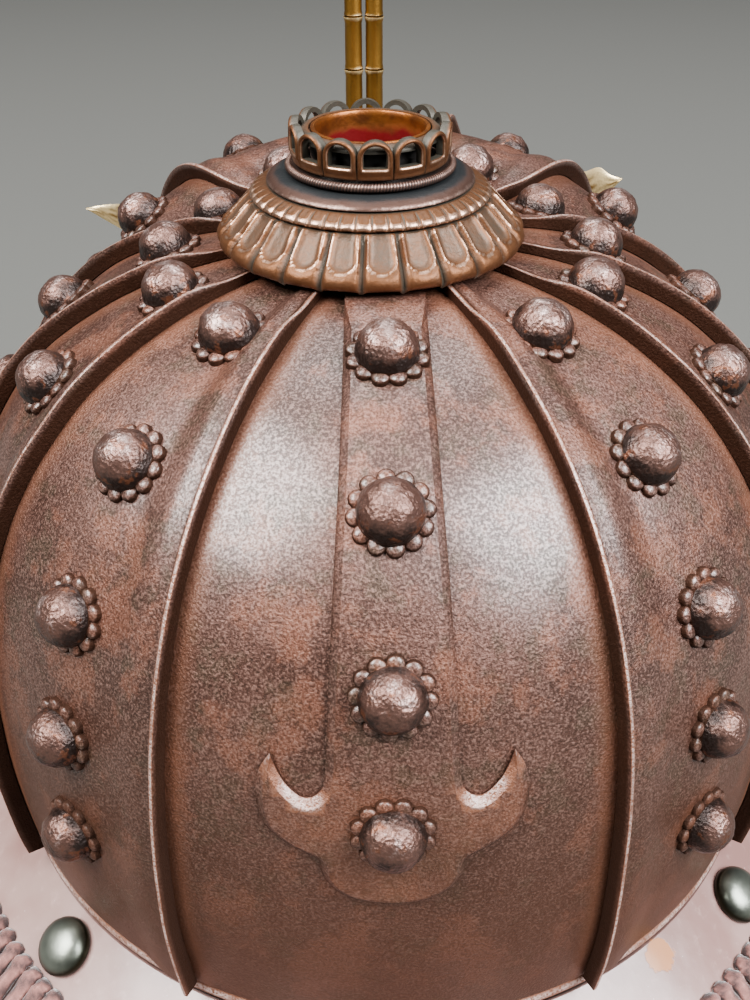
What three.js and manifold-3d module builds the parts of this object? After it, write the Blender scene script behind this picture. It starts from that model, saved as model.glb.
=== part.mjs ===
// A riveted iron helmet with a laced neck guard.
// Millimetres. The peak faces -Y, the crown +Z, and the bowl's rim lies at z = 0.
import * as THREE from 'three';
import { mergeVertices } from 'three/addons/utils/BufferGeometryUtils.js';
import Module from 'manifold-3d';

const wasm = await Module();
wasm.setup();

// Bowl. Its level sections are ellipses, its upright section a squarish dome on a short wall.
const bowlHalfWidth = 104;
const bowlHalfLength = 112;
const wallHeight = 36;
const domeHeight = 102;
const domeSquareness = 2.5;
const rimTuck = 4;
const crownShift = 10;
const frontRise = 21;
const frontRiseStart = bowlHalfLength * (3 / 14);
const frontRiseEnd = bowlHalfLength * (4 / 7);

// Plates. Each forward plate laps over the one behind it and ends in an upturned flange.
const plateThickness = 1.8;
const clearance = 0.3;
const plateLap = 5;
const plateRamp = 12;
const lapShare = 0.2;
const flangeShare = 0.08;
const tuckShare = 0.85;
const plateTopRadius = 24;
const plateShoulderRadius = 36;
const flangeHeight = 2.4;
const flangeThickness = 1.7;
const flangeFoot = 1.1;
const flangeLeast = 0.2;
const flangeFadeLow = 35;
const flangeFadeHigh = 48;

// Rivets.
const rivetWasherRadius = 8.1;
const rivetWasherEdge = 0.8;
const rivetWasherHeight = 1.2;
const rivetDomeRadius = 6.6;
const rivetShoulderRadius = 5.5;
const rivetShoulderHeight = 5;
const rivetHeight = 7.4;
const rivetSink = plateThickness - clearance;
const rivetSides = 7;

// Crown fitting, from its seat upwards.
const crownAside = 2.5;
const crownSeatRise = 4;
const crownSeatHeight = wallHeight + domeHeight + crownSeatRise;
const tubeBore = 11.8;
const tubeWall = 1.2;
const tubeTail = 9;
const tubeDip = 0.6;
const rosetteRadius = 33.9;
const rosetteDroop = 1.3;
const rosettePetals = 24;
const rosetteEdgeHeight = 3.4;
const rosetteHeight = 8.5;
const rosetteShoulder = 26.4;
const petalDepth = 0.9;
const beadedRingRadius = 26.6;
const beadedRingTopRadius = 26;
const beadedRingHeight = 2.7;
const stepRadius = 22.8;
const stepHeight = 2.2;
const stepShoulderRadius = 21.8;
const stepShoulderHeight = 1.3;
const stepTopRadius = 19.2;
const ropeRadius = 18.6;
const ropeFootRadius = 17.9;
const ropeHeight = 1.7;
const arcadeOuterRadius = 17.6;
const arcadeHeight = 8.3;
const arcadeArches = 14;
const archWidth = 5;
const archHeight = 4.2;
const archSill = 3;
const scallopDepth = 1.6;

// Rim band.
const bandThickness = 2.2;
const bandDrop = 6;
const beadReach = 2.2;
const beadEdgeReach = 1.5;
const beadHeight = 4.4;

// Neck guard.
const lameCount = 4;
const lameThickness = 2.2;
const lameWidth = 30;
const lameOverlap = 9;
const lameSpan = 126;
const lowerLameSpan = 120;
const firstSlope = 35;
const slopeGain = 7;
const lameRivetProfile = [[0, 0], [7, 0], [6.6, 1.8], [4.3, 3.8], [0, 4.6]];
const lameRivetGap = 0.45;
const lameRivetDistance = 9.2;
const lameRivetAngles = [45, -53];
const turnBackRadius = 5;
const turnBackAngle = 130;
const turnBackLength = 34;
const laceStart = 18.6;
const laceLength = 6;
const laceThickness = 2.8;
const laceFold = 1.5;
const laceEndGap = 3;

// Peak.
const peakThickness = 2.2;
const peakReach = 40;
const peakEndReach = 8;
const peakEndGap = 12;
const peakHalfAngle = 180 - lameSpan - peakEndGap;
const peakSlope = 18;
const peakFullness = 0.7;

// Crest.
const crestOffset = 3;
const crestForward = 16;
const holderWidth = 18;
const holderFrontWidth = 14.4;
const holderDepth = 21;
const holderBottom = 24;
const holderTop = 50;
const socketDepth = 22;
const stemRadius = 2.7;
const stemTop = 228;
const stemSides = 6;
const stemNodeHeights = [66, 100, 144.5, 160.5, 194];
const stemNodeSwell = 0.4;
const stemNodeLength = 1.6;
const leafThickness = 1.2;
const twigWidth = 2.6;

// Mesh steps.
const domeSteps = 7;
const plateFacet = 14;
const sweepStep = 11.25;
const roundSegments = 24;
const archSegments = 3;
const peakSteps = 12;
const lameRivetSides = 12;

const degrees = THREE.MathUtils.degToRad;
const rimHalfWidth = bowlHalfWidth - rimTuck;
const rimHalfLength = bowlHalfLength - rimTuck;
const lapStep = plateThickness + clearance;

const russet = { color: 0x6a4b43, roughness: 0.5, metalness: 0.55 };
const copper = { color: 0x7a4f38, roughness: 0.35, metalness: 0.9 };
const paleLacquer = { color: 0xb5a5a0, roughness: 0.3, metalness: 0 };
const rose = { color: 0x7d5050, roughness: 0.9, metalness: 0 };
const gilt = { color: 0xa8813c, roughness: 0.3, metalness: 1 };
const silver = { color: 0x8d9085, roughness: 0.3, metalness: 0.9 };

const helmet = new THREE.Group();

// Adds one named piece to the helmet.
function addPiece(name, geometry, finish) {
  const mesh = new THREE.Mesh(geometry, new THREE.MeshStandardMaterial(finish));
  mesh.name = name;
  helmet.add(mesh);
  return mesh;
}

const weldDistance = 1e-4;

// A closed geometry as a solid that can be joined and cut.
function toSolid(geometry) {
  const bare = geometry.clone();
  bare.deleteAttribute('normal');
  bare.deleteAttribute('uv');
  const merged = mergeVertices(bare, weldDistance);
  return new wasm.Manifold(new wasm.Mesh({
    numProp: 3,
    vertProperties: new Float32Array(merged.attributes.position.array),
    triVerts: new Uint32Array(merged.index.array),
  }));
}

// The way back from a solid to a geometry.
function toGeometry(solid) {
  const mesh = solid.getMesh();
  const geometry = new THREE.BufferGeometry();
  geometry.setAttribute('position', new THREE.BufferAttribute(mesh.vertProperties, 3));
  geometry.setIndex(new THREE.BufferAttribute(mesh.triVerts, 1));
  return geometry;
}

// Skins a row of outlines that have equal numbers of points. Each face splits from its corner
// towards +Y, so that faces that lie over each other bend alike. An open row gets an end face
// at each end, cut to triangles on the flat outlines in faces. All faces are turned to point out.
function skin(rings, closed, faces = []) {
  const count = rings[0].length;
  const positions = rings.flat().flatMap((point) => [point.x, point.y, point.z]);
  const triangles = [];
  const spans = closed ? rings.length : rings.length - 1;
  for (let i = 0; i < spans; i += 1) {
    const here = i * count;
    const next = ((i + 1) % rings.length) * count;
    for (let j = 0; j < count; j += 1) {
      const k = (j + 1) % count;
      if (rings[i][j].y >= rings[i][k].y) {
        triangles.push([here + j, next + j, next + k], [here + j, next + k, here + k]);
      } else {
        triangles.push([here + j, next + j, here + k], [next + j, next + k, here + k]);
      }
    }
  }
  if (!closed) {
    const last = (rings.length - 1) * count;
    const clockwise = THREE.ShapeUtils.isClockWise(faces[0]);
    for (const face of THREE.ShapeUtils.triangulateShape(faces[0], [])) {
      triangles.push(clockwise ? [...face].reverse() : face);
    }
    for (const face of THREE.ShapeUtils.triangulateShape(faces[1], [])) {
      const shifted = face.map((index) => index + last);
      triangles.push(clockwise ? shifted : shifted.reverse());
    }
  }
  const geometry = new THREE.BufferGeometry();
  geometry.setAttribute('position', new THREE.Float32BufferAttribute(positions, 3));
  geometry.setIndex(triangles.flat());
  return signedVolume(geometry) > 0 ? geometry : insideOut(geometry);
}

// The volume that a closed geometry holds, negative when its faces point in.
function signedVolume(geometry) {
  const points = geometry.attributes.position;
  const index = geometry.index;
  const [a, b, c] = [new THREE.Vector3(), new THREE.Vector3(), new THREE.Vector3()];
  let volume = 0;
  for (let i = 0; i < index.count; i += 3) {
    a.fromBufferAttribute(points, index.getX(i));
    b.fromBufferAttribute(points, index.getX(i + 1));
    c.fromBufferAttribute(points, index.getX(i + 2));
    volume += a.dot(b.cross(c)) / 6;
  }
  return volume;
}

function insideOut(geometry) {
  geometry.index.array.reverse();
  return geometry;
}

// A geometry mirrored left to right, with its faces still pointing out.
function mirrored(geometry) {
  const copy = geometry.clone();
  copy.applyMatrix4(new THREE.Matrix4().makeScale(-1, 1, 1));
  return insideOut(copy);
}

// A ring or disc turned about the upright line through the crown's centre.
function turned(profile, segments = roundSegments) {
  const points = [...profile, profile[0]].map(([radius, height]) => new THREE.Vector2(radius, height));
  const geometry = new THREE.LatheGeometry(points, segments);
  geometry.rotateX(Math.PI / 2);
  geometry.translate(crownAside, crownShift, 0);
  return toGeometry(toSolid(geometry));
}

// The bowl's base surface. The station runs from 90 degrees at the top to 0 at the wall's top,
// then from 0 to -1 down the wall. The turn angle runs from the back towards +X.
function levelRadius(station) {
  if (station < 0) {
    return bowlHalfWidth - rimTuck * station * station;
  }
  return bowlHalfWidth * Math.cos(station) ** (2 / domeSquareness);
}

function stationAtRadius(radius) {
  return Math.acos((radius / bowlHalfWidth) ** (domeSquareness / 2));
}

function bowlSurface(station, turn) {
  const radius = levelRadius(station);
  const dome = station < 0 ? 0 : domeHeight * Math.sin(station) ** (2 / domeSquareness);
  const wall = station < 0 ? wallHeight * (1 + station) : wallHeight;
  const shift = crownShift * (1 - (radius / bowlHalfWidth) ** 2);
  const length = radius + (bowlHalfLength - bowlHalfWidth) * (radius / bowlHalfWidth);
  const y = length * Math.cos(turn) + shift;
  const rise = frontRise * THREE.MathUtils.smoothstep(-y, frontRiseStart, frontRiseEnd) * (dome / domeHeight);
  return new THREE.Vector3(radius * Math.sin(turn), y, wall + dome + rise);
}

// A small step in radians, to take a surface's directions from.
const nudge = 1e-3;

// Straight out of the surface, fading to level at the rim.
function bowlNormal(station, turn) {
  const down = bowlSurface(station - nudge, turn).sub(bowlSurface(station + nudge, turn));
  const across = bowlSurface(station, turn + nudge).sub(bowlSurface(station, turn - nudge));
  const normal = down.cross(across).normalize();
  const inside = new THREE.Vector3(0, 0, wallHeight / 2);
  if (normal.dot(bowlSurface(station, turn).sub(inside)) < 0) {
    normal.negate();
  }
  if (station < 0) {
    normal.z *= 1 + station;
  }
  return normal.normalize();
}

function bowlPoint(station, turn, offset) {
  return bowlSurface(station, turn).addScaledVector(bowlNormal(station, turn), offset);
}

// Stations from a plate's top edge down to the rim.
const plateStations = [stationAtRadius(plateTopRadius)];
for (let i = 0; i < domeSteps; i += 1) {
  plateStations.push(stationAtRadius(plateShoulderRadius) * (1 - i / domeSteps));
}
plateStations.push(0, -1);

// Turn angles between two others, on a plate whose facets are at most plateFacet wide.
function between(from, to, span) {
  const steps = Math.ceil(span / degrees(plateFacet));
  return Array.from({ length: steps - 1 }, (_, i) => from + ((to - from) * (i + 1)) / steps);
}

// How wide the lap, its ramp and the flange are at a station, as turn angles.
function lapAngles(station, span) {
  const radius = levelRadius(station);
  const lap = Math.min(plateLap / radius, lapShare * span);
  const ramp = lap + Math.min(plateRamp / radius, lapShare * span);
  const flange = Math.min(flangeThickness / radius, flangeShare * span);
  const fade = THREE.MathUtils.smoothstep(radius, flangeFadeLow, flangeFadeHigh);
  return { lap, ramp, flange, rise: Math.max(flangeLeast, flangeHeight * fade) };
}

// The flange's tip and its foot.
function raisedEdge(from, top, rise, flange) {
  return [[from, top + rise], [from + flange, top + rise], [from + flange * flangeFoot, top]];
}

// A plate's section as turn angle and height above the base surface: the outer side first.
// The back edge lies over its neighbour, the front edge slips under the next plate.
function plateSection(station, from, to, nextSpan) {
  const { lap, ramp, flange, rise } = lapAngles(station, to - from);
  const under = to + tuckShare * lapAngles(station, nextSpan).lap;
  const top = lapStep + plateThickness;
  const middle = between(from + ramp, to, to - from);
  const outer = [...raisedEdge(from, top, rise, flange), [from + lap, top], [from + ramp, plateThickness],
    ...middle.map((turn) => [turn, plateThickness]), [to, plateThickness], [under, plateThickness]];
  const inner = [[under, 0], [to, 0], ...middle.reverse().map((turn) => [turn, 0]), [from + ramp, 0],
    [from + lap, lapStep], [from, lapStep]];
  return [...outer, ...inner];
}

// The back plate lies under both its neighbours.
function backSection(station, halfSpan, nextSpan) {
  const under = halfSpan + tuckShare * lapAngles(station, nextSpan).lap;
  const turns = [-under, ...between(-halfSpan, halfSpan, 2 * halfSpan), under];
  return [...turns.map((turn) => [turn, plateThickness]), ...turns.reverse().map((turn) => [turn, 0])];
}

// The front plate lies over both its neighbours.
function frontSection(station, from) {
  const to = 2 * Math.PI - from;
  const { lap, ramp, flange, rise } = lapAngles(station, to - from);
  const top = lapStep + plateThickness;
  const middle = between(from + ramp, to - ramp, to - from);
  const outer = [...raisedEdge(from, top, rise, flange), [from + lap, top], [from + ramp, plateThickness]];
  const inner = [[from + ramp, 0], [from + lap, lapStep], [from, lapStep]];
  const mirrorTurn = ([turn, height]) => [2 * Math.PI - turn, height];
  return [...outer, ...middle.map((turn) => [turn, plateThickness]), ...outer.map(mirrorTurn).reverse(),
    ...inner.map(mirrorTurn).reverse(), ...middle.reverse().map((turn) => [turn, 0]), ...inner];
}

// A plate swept down the bowl from its section at each station.
function sweptPlate(sectionAt) {
  const sections = plateStations.map(sectionAt);
  const rings = sections.map((section, i) => (
    section.map(([turn, height]) => bowlPoint(plateStations[i], turn, height))
  ));
  const flat = (section, radius) => section.map(([turn, height]) => (
    new THREE.Vector2((radius + height) * Math.sin(turn), (radius + height) * Math.cos(turn))
  ));
  const ends = [flat(sections[0], plateTopRadius), flat(sections.at(-1), bowlHalfWidth)];
  return skin(rings, false, ends);
}

// A domed rivet on its washer, standing out of the bowl at a height above the base surface.
function bowlRivet(station, turn, height, sink) {
  const profile = [[0, -sink], [rivetWasherRadius, rivetWasherEdge],
    [rivetDomeRadius, rivetWasherHeight], [rivetShoulderRadius, rivetShoulderHeight], [0, rivetHeight]];
  return standing(profile, rivetSides, bowlPoint(station, turn, height), bowlNormal(station, turn));
}

// A turned shape stood on a point along a direction.
function standing(profile, sides, place, direction) {
  const outline = profile.map(([radius, height]) => new THREE.Vector2(radius, height));
  const geometry = new THREE.LatheGeometry(outline, sides);
  geometry.applyQuaternion(new THREE.Quaternion().setFromUnitVectors(new THREE.Vector3(0, 1, 0), direction));
  geometry.translate(place.x, place.y, place.z);
  return toSolid(geometry);
}

function withRivets(geometry, turn, stations, height, sink) {
  const rivets = stations.map((station) => bowlRivet(degrees(station), turn, height, sink));
  return toGeometry(rivets.reduce((solid, rivet) => solid.add(rivet), toSolid(geometry)));
}

// Where each side plate's back edge and its rivet column lie, in degrees from the back, and the
// rivets' stations in degrees from the wall's top, crown first.
const sidePlates = [
  { edge: 25, rivets: 40, stations: [67.7, 47, 26.2, 10.6, -1] },
  { edge: 57, rivets: 69.5, stations: [67.7, 47, 26.2, 10.6, -1] },
  { edge: 81, rivets: 98.5, stations: [66.5, 47, 28.5, 11, -1] },
  { edge: 109, rivets: 126.5, stations: [67, 47, 28, 11, -1] },
  { edge: 137, rivets: 152, stations: [67, 47, 28, 11, -1] },
];
const frontEdge = 162;
const frontStations = [67, 47, 28, 11];
const backStations = [67.7, 47, 26.2, 10.6];
const edges = [...sidePlates.map((plate) => plate.edge), frontEdge].map(degrees);
const spans = edges.map((edge, i) => (i + 1 < edges.length ? edges[i + 1] : 2 * Math.PI - edge) - edge);

function addBowlPlates() {
  addPiece('bowl_plate_back', sweptPlate((station) => backSection(station, edges[0], spans[0])), russet);
  sidePlates.forEach((plate, i) => {
    const bare = sweptPlate((station) => plateSection(station, edges[i], edges[i + 1], spans[i + 1]));
    const riveted = withRivets(bare, degrees(plate.rivets), plate.stations, plateThickness, rivetSink);
    addPiece(`bowl_plate_left_${i + 1}`, riveted, russet);
    addPiece(`bowl_plate_right_${i + 1}`, mirrored(riveted), russet);
  });
  const front = sweptPlate((station) => frontSection(station, edges.at(-1)));
  const riveted = withRivets(front, Math.PI, frontStations, plateThickness, rivetSink);
  addPiece('bowl_plate_front', riveted, russet);
}

// The strip and its two-lobed tail on the back plate, one side, as half width and height.
const overlayThickness = 1.1;
const overlayTop = 150;
const overlayOutline = [
  [7.6, overlayTop], [9, 127], [10.7, 105], [11.8, 88], [12.6, 74], [14, 70], [16.8, 68.8], [19.8, 71.2],
  [21.6, 74.2], [22.8, 77.3], [25, 73.4], [25.8, 67.5], [24.5, 61.8], [21, 58.2], [16.6, 55.7], [14.2, 54.2],
  [13.1, 50], [10.8, 46.9], [8, 45], [4.4, 42.4], [0, 39.5],
];

function addBackOverlay() {
  const low = plateThickness + clearance;
  const high = low + overlayThickness;
  const half = edges[0];
  const sheet = sweptPlate(() => {
    const turns = between(-half, half, 2 * half);
    return [...turns.map((turn) => [turn, high]), ...turns.reverse().map((turn) => [turn, low])];
  });
  const right = overlayOutline.map(([x, z]) => new THREE.Vector2(x, z));
  const left = overlayOutline.slice(0, -1).reverse().map(([x, z]) => new THREE.Vector2(-x, z));
  const depth = 2 * bowlHalfLength;
  const shape = new THREE.Shape([...right, ...left]);
  const cutter = new THREE.ExtrudeGeometry(shape, { depth, bevelEnabled: false });
  cutter.rotateX(Math.PI / 2);
  cutter.translate(0, depth, 0);
  const cut = toGeometry(toSolid(sheet).intersect(toSolid(cutter)));
  addPiece('back_overlay', withRivets(cut, 0, backStations, high, overlayThickness), russet);
}

// The crown fitting is a stack of rings about a copper tube.
const tubeRadius = tubeBore + tubeWall;
const ringBore = tubeRadius + clearance;
const rosetteTop = crownSeatHeight + rosetteHeight;
const beadedBottom = rosetteTop + clearance;
const stepBottom = beadedBottom + beadedRingHeight + clearance;
const ropeBottom = stepBottom + stepHeight + clearance;
const arcadeBottom = ropeBottom + ropeHeight + clearance;
const arcadeTop = arcadeBottom + arcadeHeight;

// The rosette's rim swells at each petal and sinks at the groove between two.
function addRosette() {
  const rings = [];
  const count = rosettePetals * 2;
  for (let i = 0; i < count; i += 1) {
    const turn = (i / count) * 2 * Math.PI;
    const sunk = i % 2 ? petalDepth : 0;
    const rim = rosetteEdgeHeight - rosetteDroop;
    const profile = [[ringBore, 0], [plateTopRadius, 0], [rosetteRadius - sunk, -rosetteDroop],
      [rosetteRadius - sunk, rim - sunk], [rosetteShoulder, rosetteHeight - sunk / 2],
      [ringBore, rosetteHeight]];
    rings.push(profile.map(([radius, height]) => new THREE.Vector3(
      radius * Math.sin(turn) + crownAside,
      radius * Math.cos(turn) + crownShift,
      height + crownSeatHeight,
    )));
  }
  addPiece('crown_rosette', skin(rings, true), copper);
}

// A ring pierced by arches all round, with a notch between the round tops of each two.
function addArcade() {
  const pitch = (2 * Math.PI) / arcadeArches;
  const wall = turned([[ringBore, arcadeBottom], [arcadeOuterRadius, arcadeBottom],
    [arcadeOuterRadius, arcadeTop], [ringBore, arcadeTop]], arcadeArches * 2);
  const arch = new THREE.Shape();
  const springing = archSill + archHeight - archWidth / 2;
  arch.moveTo(-archWidth / 2, archSill);
  arch.lineTo(archWidth / 2, archSill);
  arch.lineTo(archWidth / 2, springing);
  arch.absarc(0, springing, archWidth / 2, 0, Math.PI, false);
  const notch = new THREE.Shape();
  notch.moveTo(0, arcadeHeight - scallopDepth);
  notch.lineTo(archWidth / 4, arcadeHeight + clearance);
  notch.lineTo(-archWidth / 4, arcadeHeight + clearance);
  let solid = toSolid(wall);
  for (let i = 0; i < arcadeArches; i += 1) {
    for (const [shape, turn] of [[arch, i * pitch], [notch, (i + 0.5) * pitch]]) {
      const cutter = new THREE.ExtrudeGeometry(shape, {
        depth: arcadeOuterRadius,
        bevelEnabled: false,
        curveSegments: archSegments,
      });
      cutter.rotateX(Math.PI / 2);
      cutter.translate(0, -tubeRadius + arcadeOuterRadius * 2, arcadeBottom);
      cutter.rotateZ(turn);
      cutter.translate(crownAside, crownShift, 0);
      solid = solid.subtract(toSolid(cutter));
    }
  }
  addPiece('crown_arcade', toGeometry(solid), copper);
}

function addCrown() {
  addRosette();
  const beadedTop = beadedBottom + beadedRingHeight;
  addPiece('crown_beaded_ring', turned([[ringBore, beadedBottom], [beadedRingRadius, beadedBottom],
    [beadedRingTopRadius, beadedTop], [ringBore, beadedTop]]), copper);
  const stepTop = stepBottom + stepHeight;
  addPiece('crown_domed_step', turned([[ringBore, stepBottom], [stepRadius, stepBottom],
    [stepShoulderRadius, stepBottom + stepShoulderHeight], [stepTopRadius, stepTop],
    [ringBore, stepTop]]), copper);
  const ropeTop = ropeBottom + ropeHeight;
  addPiece('crown_rope_ring', turned([[ringBore, ropeBottom], [ropeFootRadius, ropeBottom],
    [ropeRadius, (ropeBottom + ropeTop) / 2], [ropeFootRadius, ropeTop], [ringBore, ropeTop]]), copper);
  addArcade();
  const tubeBottom = crownSeatHeight - tubeTail;
  const tubeTop = arcadeTop - tubeDip;
  addPiece('crown_tube', turned([[tubeBore, tubeBottom], [tubeRadius, tubeBottom], [tubeRadius, tubeTop],
    [tubeBore, tubeTop]]), copper);
}

// A point outside the rim's ellipse, at a reach from it, a height and a turn from the back.
function aroundRim(reach, height, turn) {
  return new THREE.Vector3(
    (rimHalfWidth + reach) * Math.sin(turn),
    (rimHalfLength + reach) * Math.cos(turn),
    height,
  );
}

// Turn angles from end to end at whole steps from the back, so that nested sweeps share them.
function sweepTurns(halfSpan) {
  const inside = Math.ceil(halfSpan / sweepStep) - 1;
  const turns = Array.from({ length: 2 * inside + 1 }, (_, i) => (i - inside) * sweepStep);
  return [-halfSpan, ...turns, halfSpan].map(degrees);
}

function addRimBand() {
  const innerReach = -bandThickness;
  const profile = [[innerReach, -clearance], [beadEdgeReach, -clearance],
    [beadReach, -clearance - beadHeight / 2], [beadEdgeReach, -beadHeight], [0, -beadHeight],
    [0, -bandDrop], [innerReach, -bandDrop]];
  const rings = sweepTurns(180).slice(0, -1).map((turn) => (
    profile.map(([reach, z]) => aroundRim(reach, z, turn))
  ));
  addPiece('rim_band', skin(rings, true), russet);
}

// A lame's slope line in the plane through the upright line: its top corner and its direction.
const lames = [];
const seamHeight = -(beadHeight + clearance);
let lameTop = new THREE.Vector2(lameThickness * Math.sin(degrees(firstSlope)) + clearance, seamHeight);
for (let i = 0; i < lameCount; i += 1) {
  const slope = degrees(firstSlope + slopeGain * i);
  const along = new THREE.Vector2(Math.cos(slope), -Math.sin(slope));
  const out = new THREE.Vector2(Math.sin(slope), Math.cos(slope));
  lames.push({ top: lameTop, along, out });
  lameTop = lameTop.clone().addScaledVector(along, lameWidth - lameOverlap);
  lameTop.addScaledVector(out, -lameThickness - 3 * clearance);
}

// A point on a lame: a distance down its slope and a height above its outer face.
function onLame(lame, distance, height) {
  return lame.top.clone().addScaledVector(lame.along, distance).addScaledVector(lame.out, height);
}

function lameProfile(lame) {
  return [onLame(lame, 0, 0), onLame(lame, lameWidth, 0), onLame(lame, lameWidth, -lameThickness),
    onLame(lame, 0, -lameThickness)];
}

function sweptBand(profile, halfSpan) {
  const rings = sweepTurns(halfSpan).map((turn) => (
    profile.map((corner) => aroundRim(corner.x, corner.y, turn))
  ));
  return skin(rings, false, [profile, profile]);
}

// The first lame's ends fold outwards and back over it as plain wings.
function foldedEnd(lame, side) {
  const turn = degrees(lameSpan) * side;
  const forward = aroundRim(0, 0, turn + side * nudge).sub(aroundRim(0, 0, turn)).normalize();
  const down = aroundRim(lame.along.x, lame.along.y, turn).sub(aroundRim(0, 0, turn)).normalize();
  const out = new THREE.Vector3().crossVectors(forward, down).multiplyScalar(side).normalize();
  const middle = onLame(lame, 0, -lameThickness / 2);
  const topCorner = aroundRim(middle.x, middle.y, turn);
  const bend = turnBackRadius + lameThickness / 2;
  const rings = [];
  for (const angle of [0, turnBackAngle / 3, (2 * turnBackAngle) / 3, turnBackAngle].map(degrees)) {
    const place = topCorner.clone()
      .addScaledVector(out, bend * (1 - Math.cos(angle)))
      .addScaledVector(forward, bend * Math.sin(angle));
    const face = out.clone().multiplyScalar(Math.cos(angle)).addScaledVector(forward, -Math.sin(angle));
    const ahead = forward.clone().multiplyScalar(Math.cos(angle)).addScaledVector(out, Math.sin(angle));
    rings.push({ place, face, ahead });
  }
  const last = rings.at(-1);
  rings.push({ ...last, place: last.place.clone().addScaledVector(last.ahead, turnBackLength) });
  return rings.map(({ place, face }) => {
    const corner = (distance, height) => (
      place.clone().addScaledVector(down, distance).addScaledVector(face, height)
    );
    const half = lameThickness / 2;
    return [corner(0, half), corner(lameWidth, half), corner(lameWidth, -half), corner(0, -half)];
  });
}

function addNeckGuard() {
  lames.forEach((lame, i) => {
    const profile = lameProfile(lame);
    let geometry;
    if (i === 0) {
      const middle = sweepTurns(lameSpan).slice(1, -1);
      const rings = middle.map((turn) => profile.map((corner) => aroundRim(corner.x, corner.y, turn)));
      const all = [...foldedEnd(lame, -1).reverse(), ...rings, ...foldedEnd(lame, 1)];
      geometry = skin(all, false, [profile, profile]);
    } else {
      geometry = sweptBand(profile, lowerLameSpan);
    }
    addPiece(`neck_lame_${i + 1}`, geometry, paleLacquer);
  });
  for (let i = 0; i + 1 < lameCount; i += 1) {
    const [upper, lower] = [lames[i], lames[i + 1]];
    const landing = lameOverlap + laceLength;
    const profile = [onLame(upper, laceStart, clearance), onLame(upper, lameWidth + clearance, clearance),
      onLame(lower, lameOverlap + laceFold, clearance), onLame(lower, landing, clearance),
      onLame(lower, landing, laceThickness), onLame(upper, lameWidth + laceFold, laceThickness),
      onLame(upper, laceStart, laceThickness)];
    addPiece(`lacing_${i + 1}`, sweptBand(profile, lowerLameSpan - laceEndGap), rose);
  }
}

function addLameRivets() {
  lameRivetAngles.forEach((angle, i) => {
    const lame = lames[0];
    const foot = onLame(lame, lameRivetDistance, lameRivetGap);
    const turn = degrees(angle);
    const place = aroundRim(foot.x, foot.y, turn);
    const step = onLame(lame, lameRivetDistance, lameRivetGap + 1);
    const direction = aroundRim(step.x, step.y, turn).sub(place).normalize();
    const rivet = standing(lameRivetProfile, lameRivetSides, place, direction);
    addPiece(i === 0 ? 'lame_rivet_left' : 'lame_rivet_right', toGeometry(rivet), silver);
  });
}

// The peak is widest at the front and narrows to its ends.
function addPeak() {
  const slope = Math.tan(degrees(peakSlope));
  const rings = [];
  let profile;
  for (let i = 0; i <= peakSteps; i += 1) {
    const turn = Math.PI + degrees(peakHalfAngle) * ((2 * i) / peakSteps - 1);
    const share = Math.sin((Math.PI * i) / peakSteps) ** peakFullness;
    const reach = peakEndReach + (peakReach - peakEndReach) * share;
    const fall = seamHeight - reach * slope;
    profile = [[clearance, seamHeight], [reach, fall], [reach, fall - peakThickness],
      [clearance, seamHeight - peakThickness]];
    rings.push(profile.map(([out, height]) => aroundRim(out, height, turn)));
  }
  const face = profile.map(([out, height]) => new THREE.Vector2(out, height));
  addPiece('peak', skin(rings, false, [face, face]), russet);
}

// The crest stands in a holder on the front plate: two bamboo stems with a leaf at each side.
const crestY = -(bowlHalfLength + crestForward);
const nodeRadius = stemRadius + stemNodeSwell;
const stemCentres = {
  left: crestOffset + nodeRadius + clearance / 2,
  right: crestOffset - nodeRadius - clearance / 2,
};
const stemBottom = holderTop - socketDepth;

function addCrestHolder() {
  const back = -(bowlHalfLength + plateThickness + clearance);
  const outline = new THREE.Shape();
  outline.moveTo(crestOffset - holderWidth / 2, back);
  outline.lineTo(crestOffset + holderWidth / 2, back);
  outline.lineTo(crestOffset + holderFrontWidth / 2, back - holderDepth);
  outline.lineTo(crestOffset - holderFrontWidth / 2, back - holderDepth);
  const block = new THREE.ExtrudeGeometry(outline, { depth: holderTop - holderBottom, bevelEnabled: false });
  block.translate(0, 0, holderBottom);
  let solid = toSolid(block);
  const socket = new THREE.BoxGeometry(
    2 * (stemRadius + nodeRadius) + 3 * clearance,
    2 * stemRadius + 2 * clearance,
    2 * socketDepth,
  );
  socket.translate(crestOffset, crestY, holderTop - clearance);
  solid = solid.subtract(toSolid(socket));
  addPiece('crest_holder', toGeometry(solid), gilt);
}

function addCrestStem(side) {
  const profile = [[0, stemBottom], [stemRadius, stemBottom]];
  for (const height of stemNodeHeights) {
    profile.push([stemRadius, height - stemNodeLength]);
    profile.push([nodeRadius, height]);
    profile.push([stemRadius, height + stemNodeLength]);
  }
  profile.push([stemRadius, stemTop], [0, stemTop]);
  const outline = profile.map(([radius, height]) => new THREE.Vector2(radius, height));
  const geometry = new THREE.LatheGeometry(outline, stemSides);
  geometry.rotateX(Math.PI / 2);
  geometry.translate(stemCentres[side], crestY, 0);
  addPiece(`crest_stem_${side}`, toGeometry(toSolid(geometry)), gilt);
}

// A thin leaf in the crest's plane, cut out with its twig. Points are along X and up Z.
function addLeaf(side, outline) {
  const shape = new THREE.Shape(outline.map(([x, z]) => new THREE.Vector2(x, z)));
  const geometry = new THREE.ExtrudeGeometry(shape, { depth: leafThickness, bevelEnabled: false });
  geometry.rotateX(Math.PI / 2);
  geometry.translate(0, crestY + leafThickness / 2, 0);
  addPiece(`crest_leaf_${side}`, toGeometry(toSolid(geometry)), gilt);
}

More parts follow.
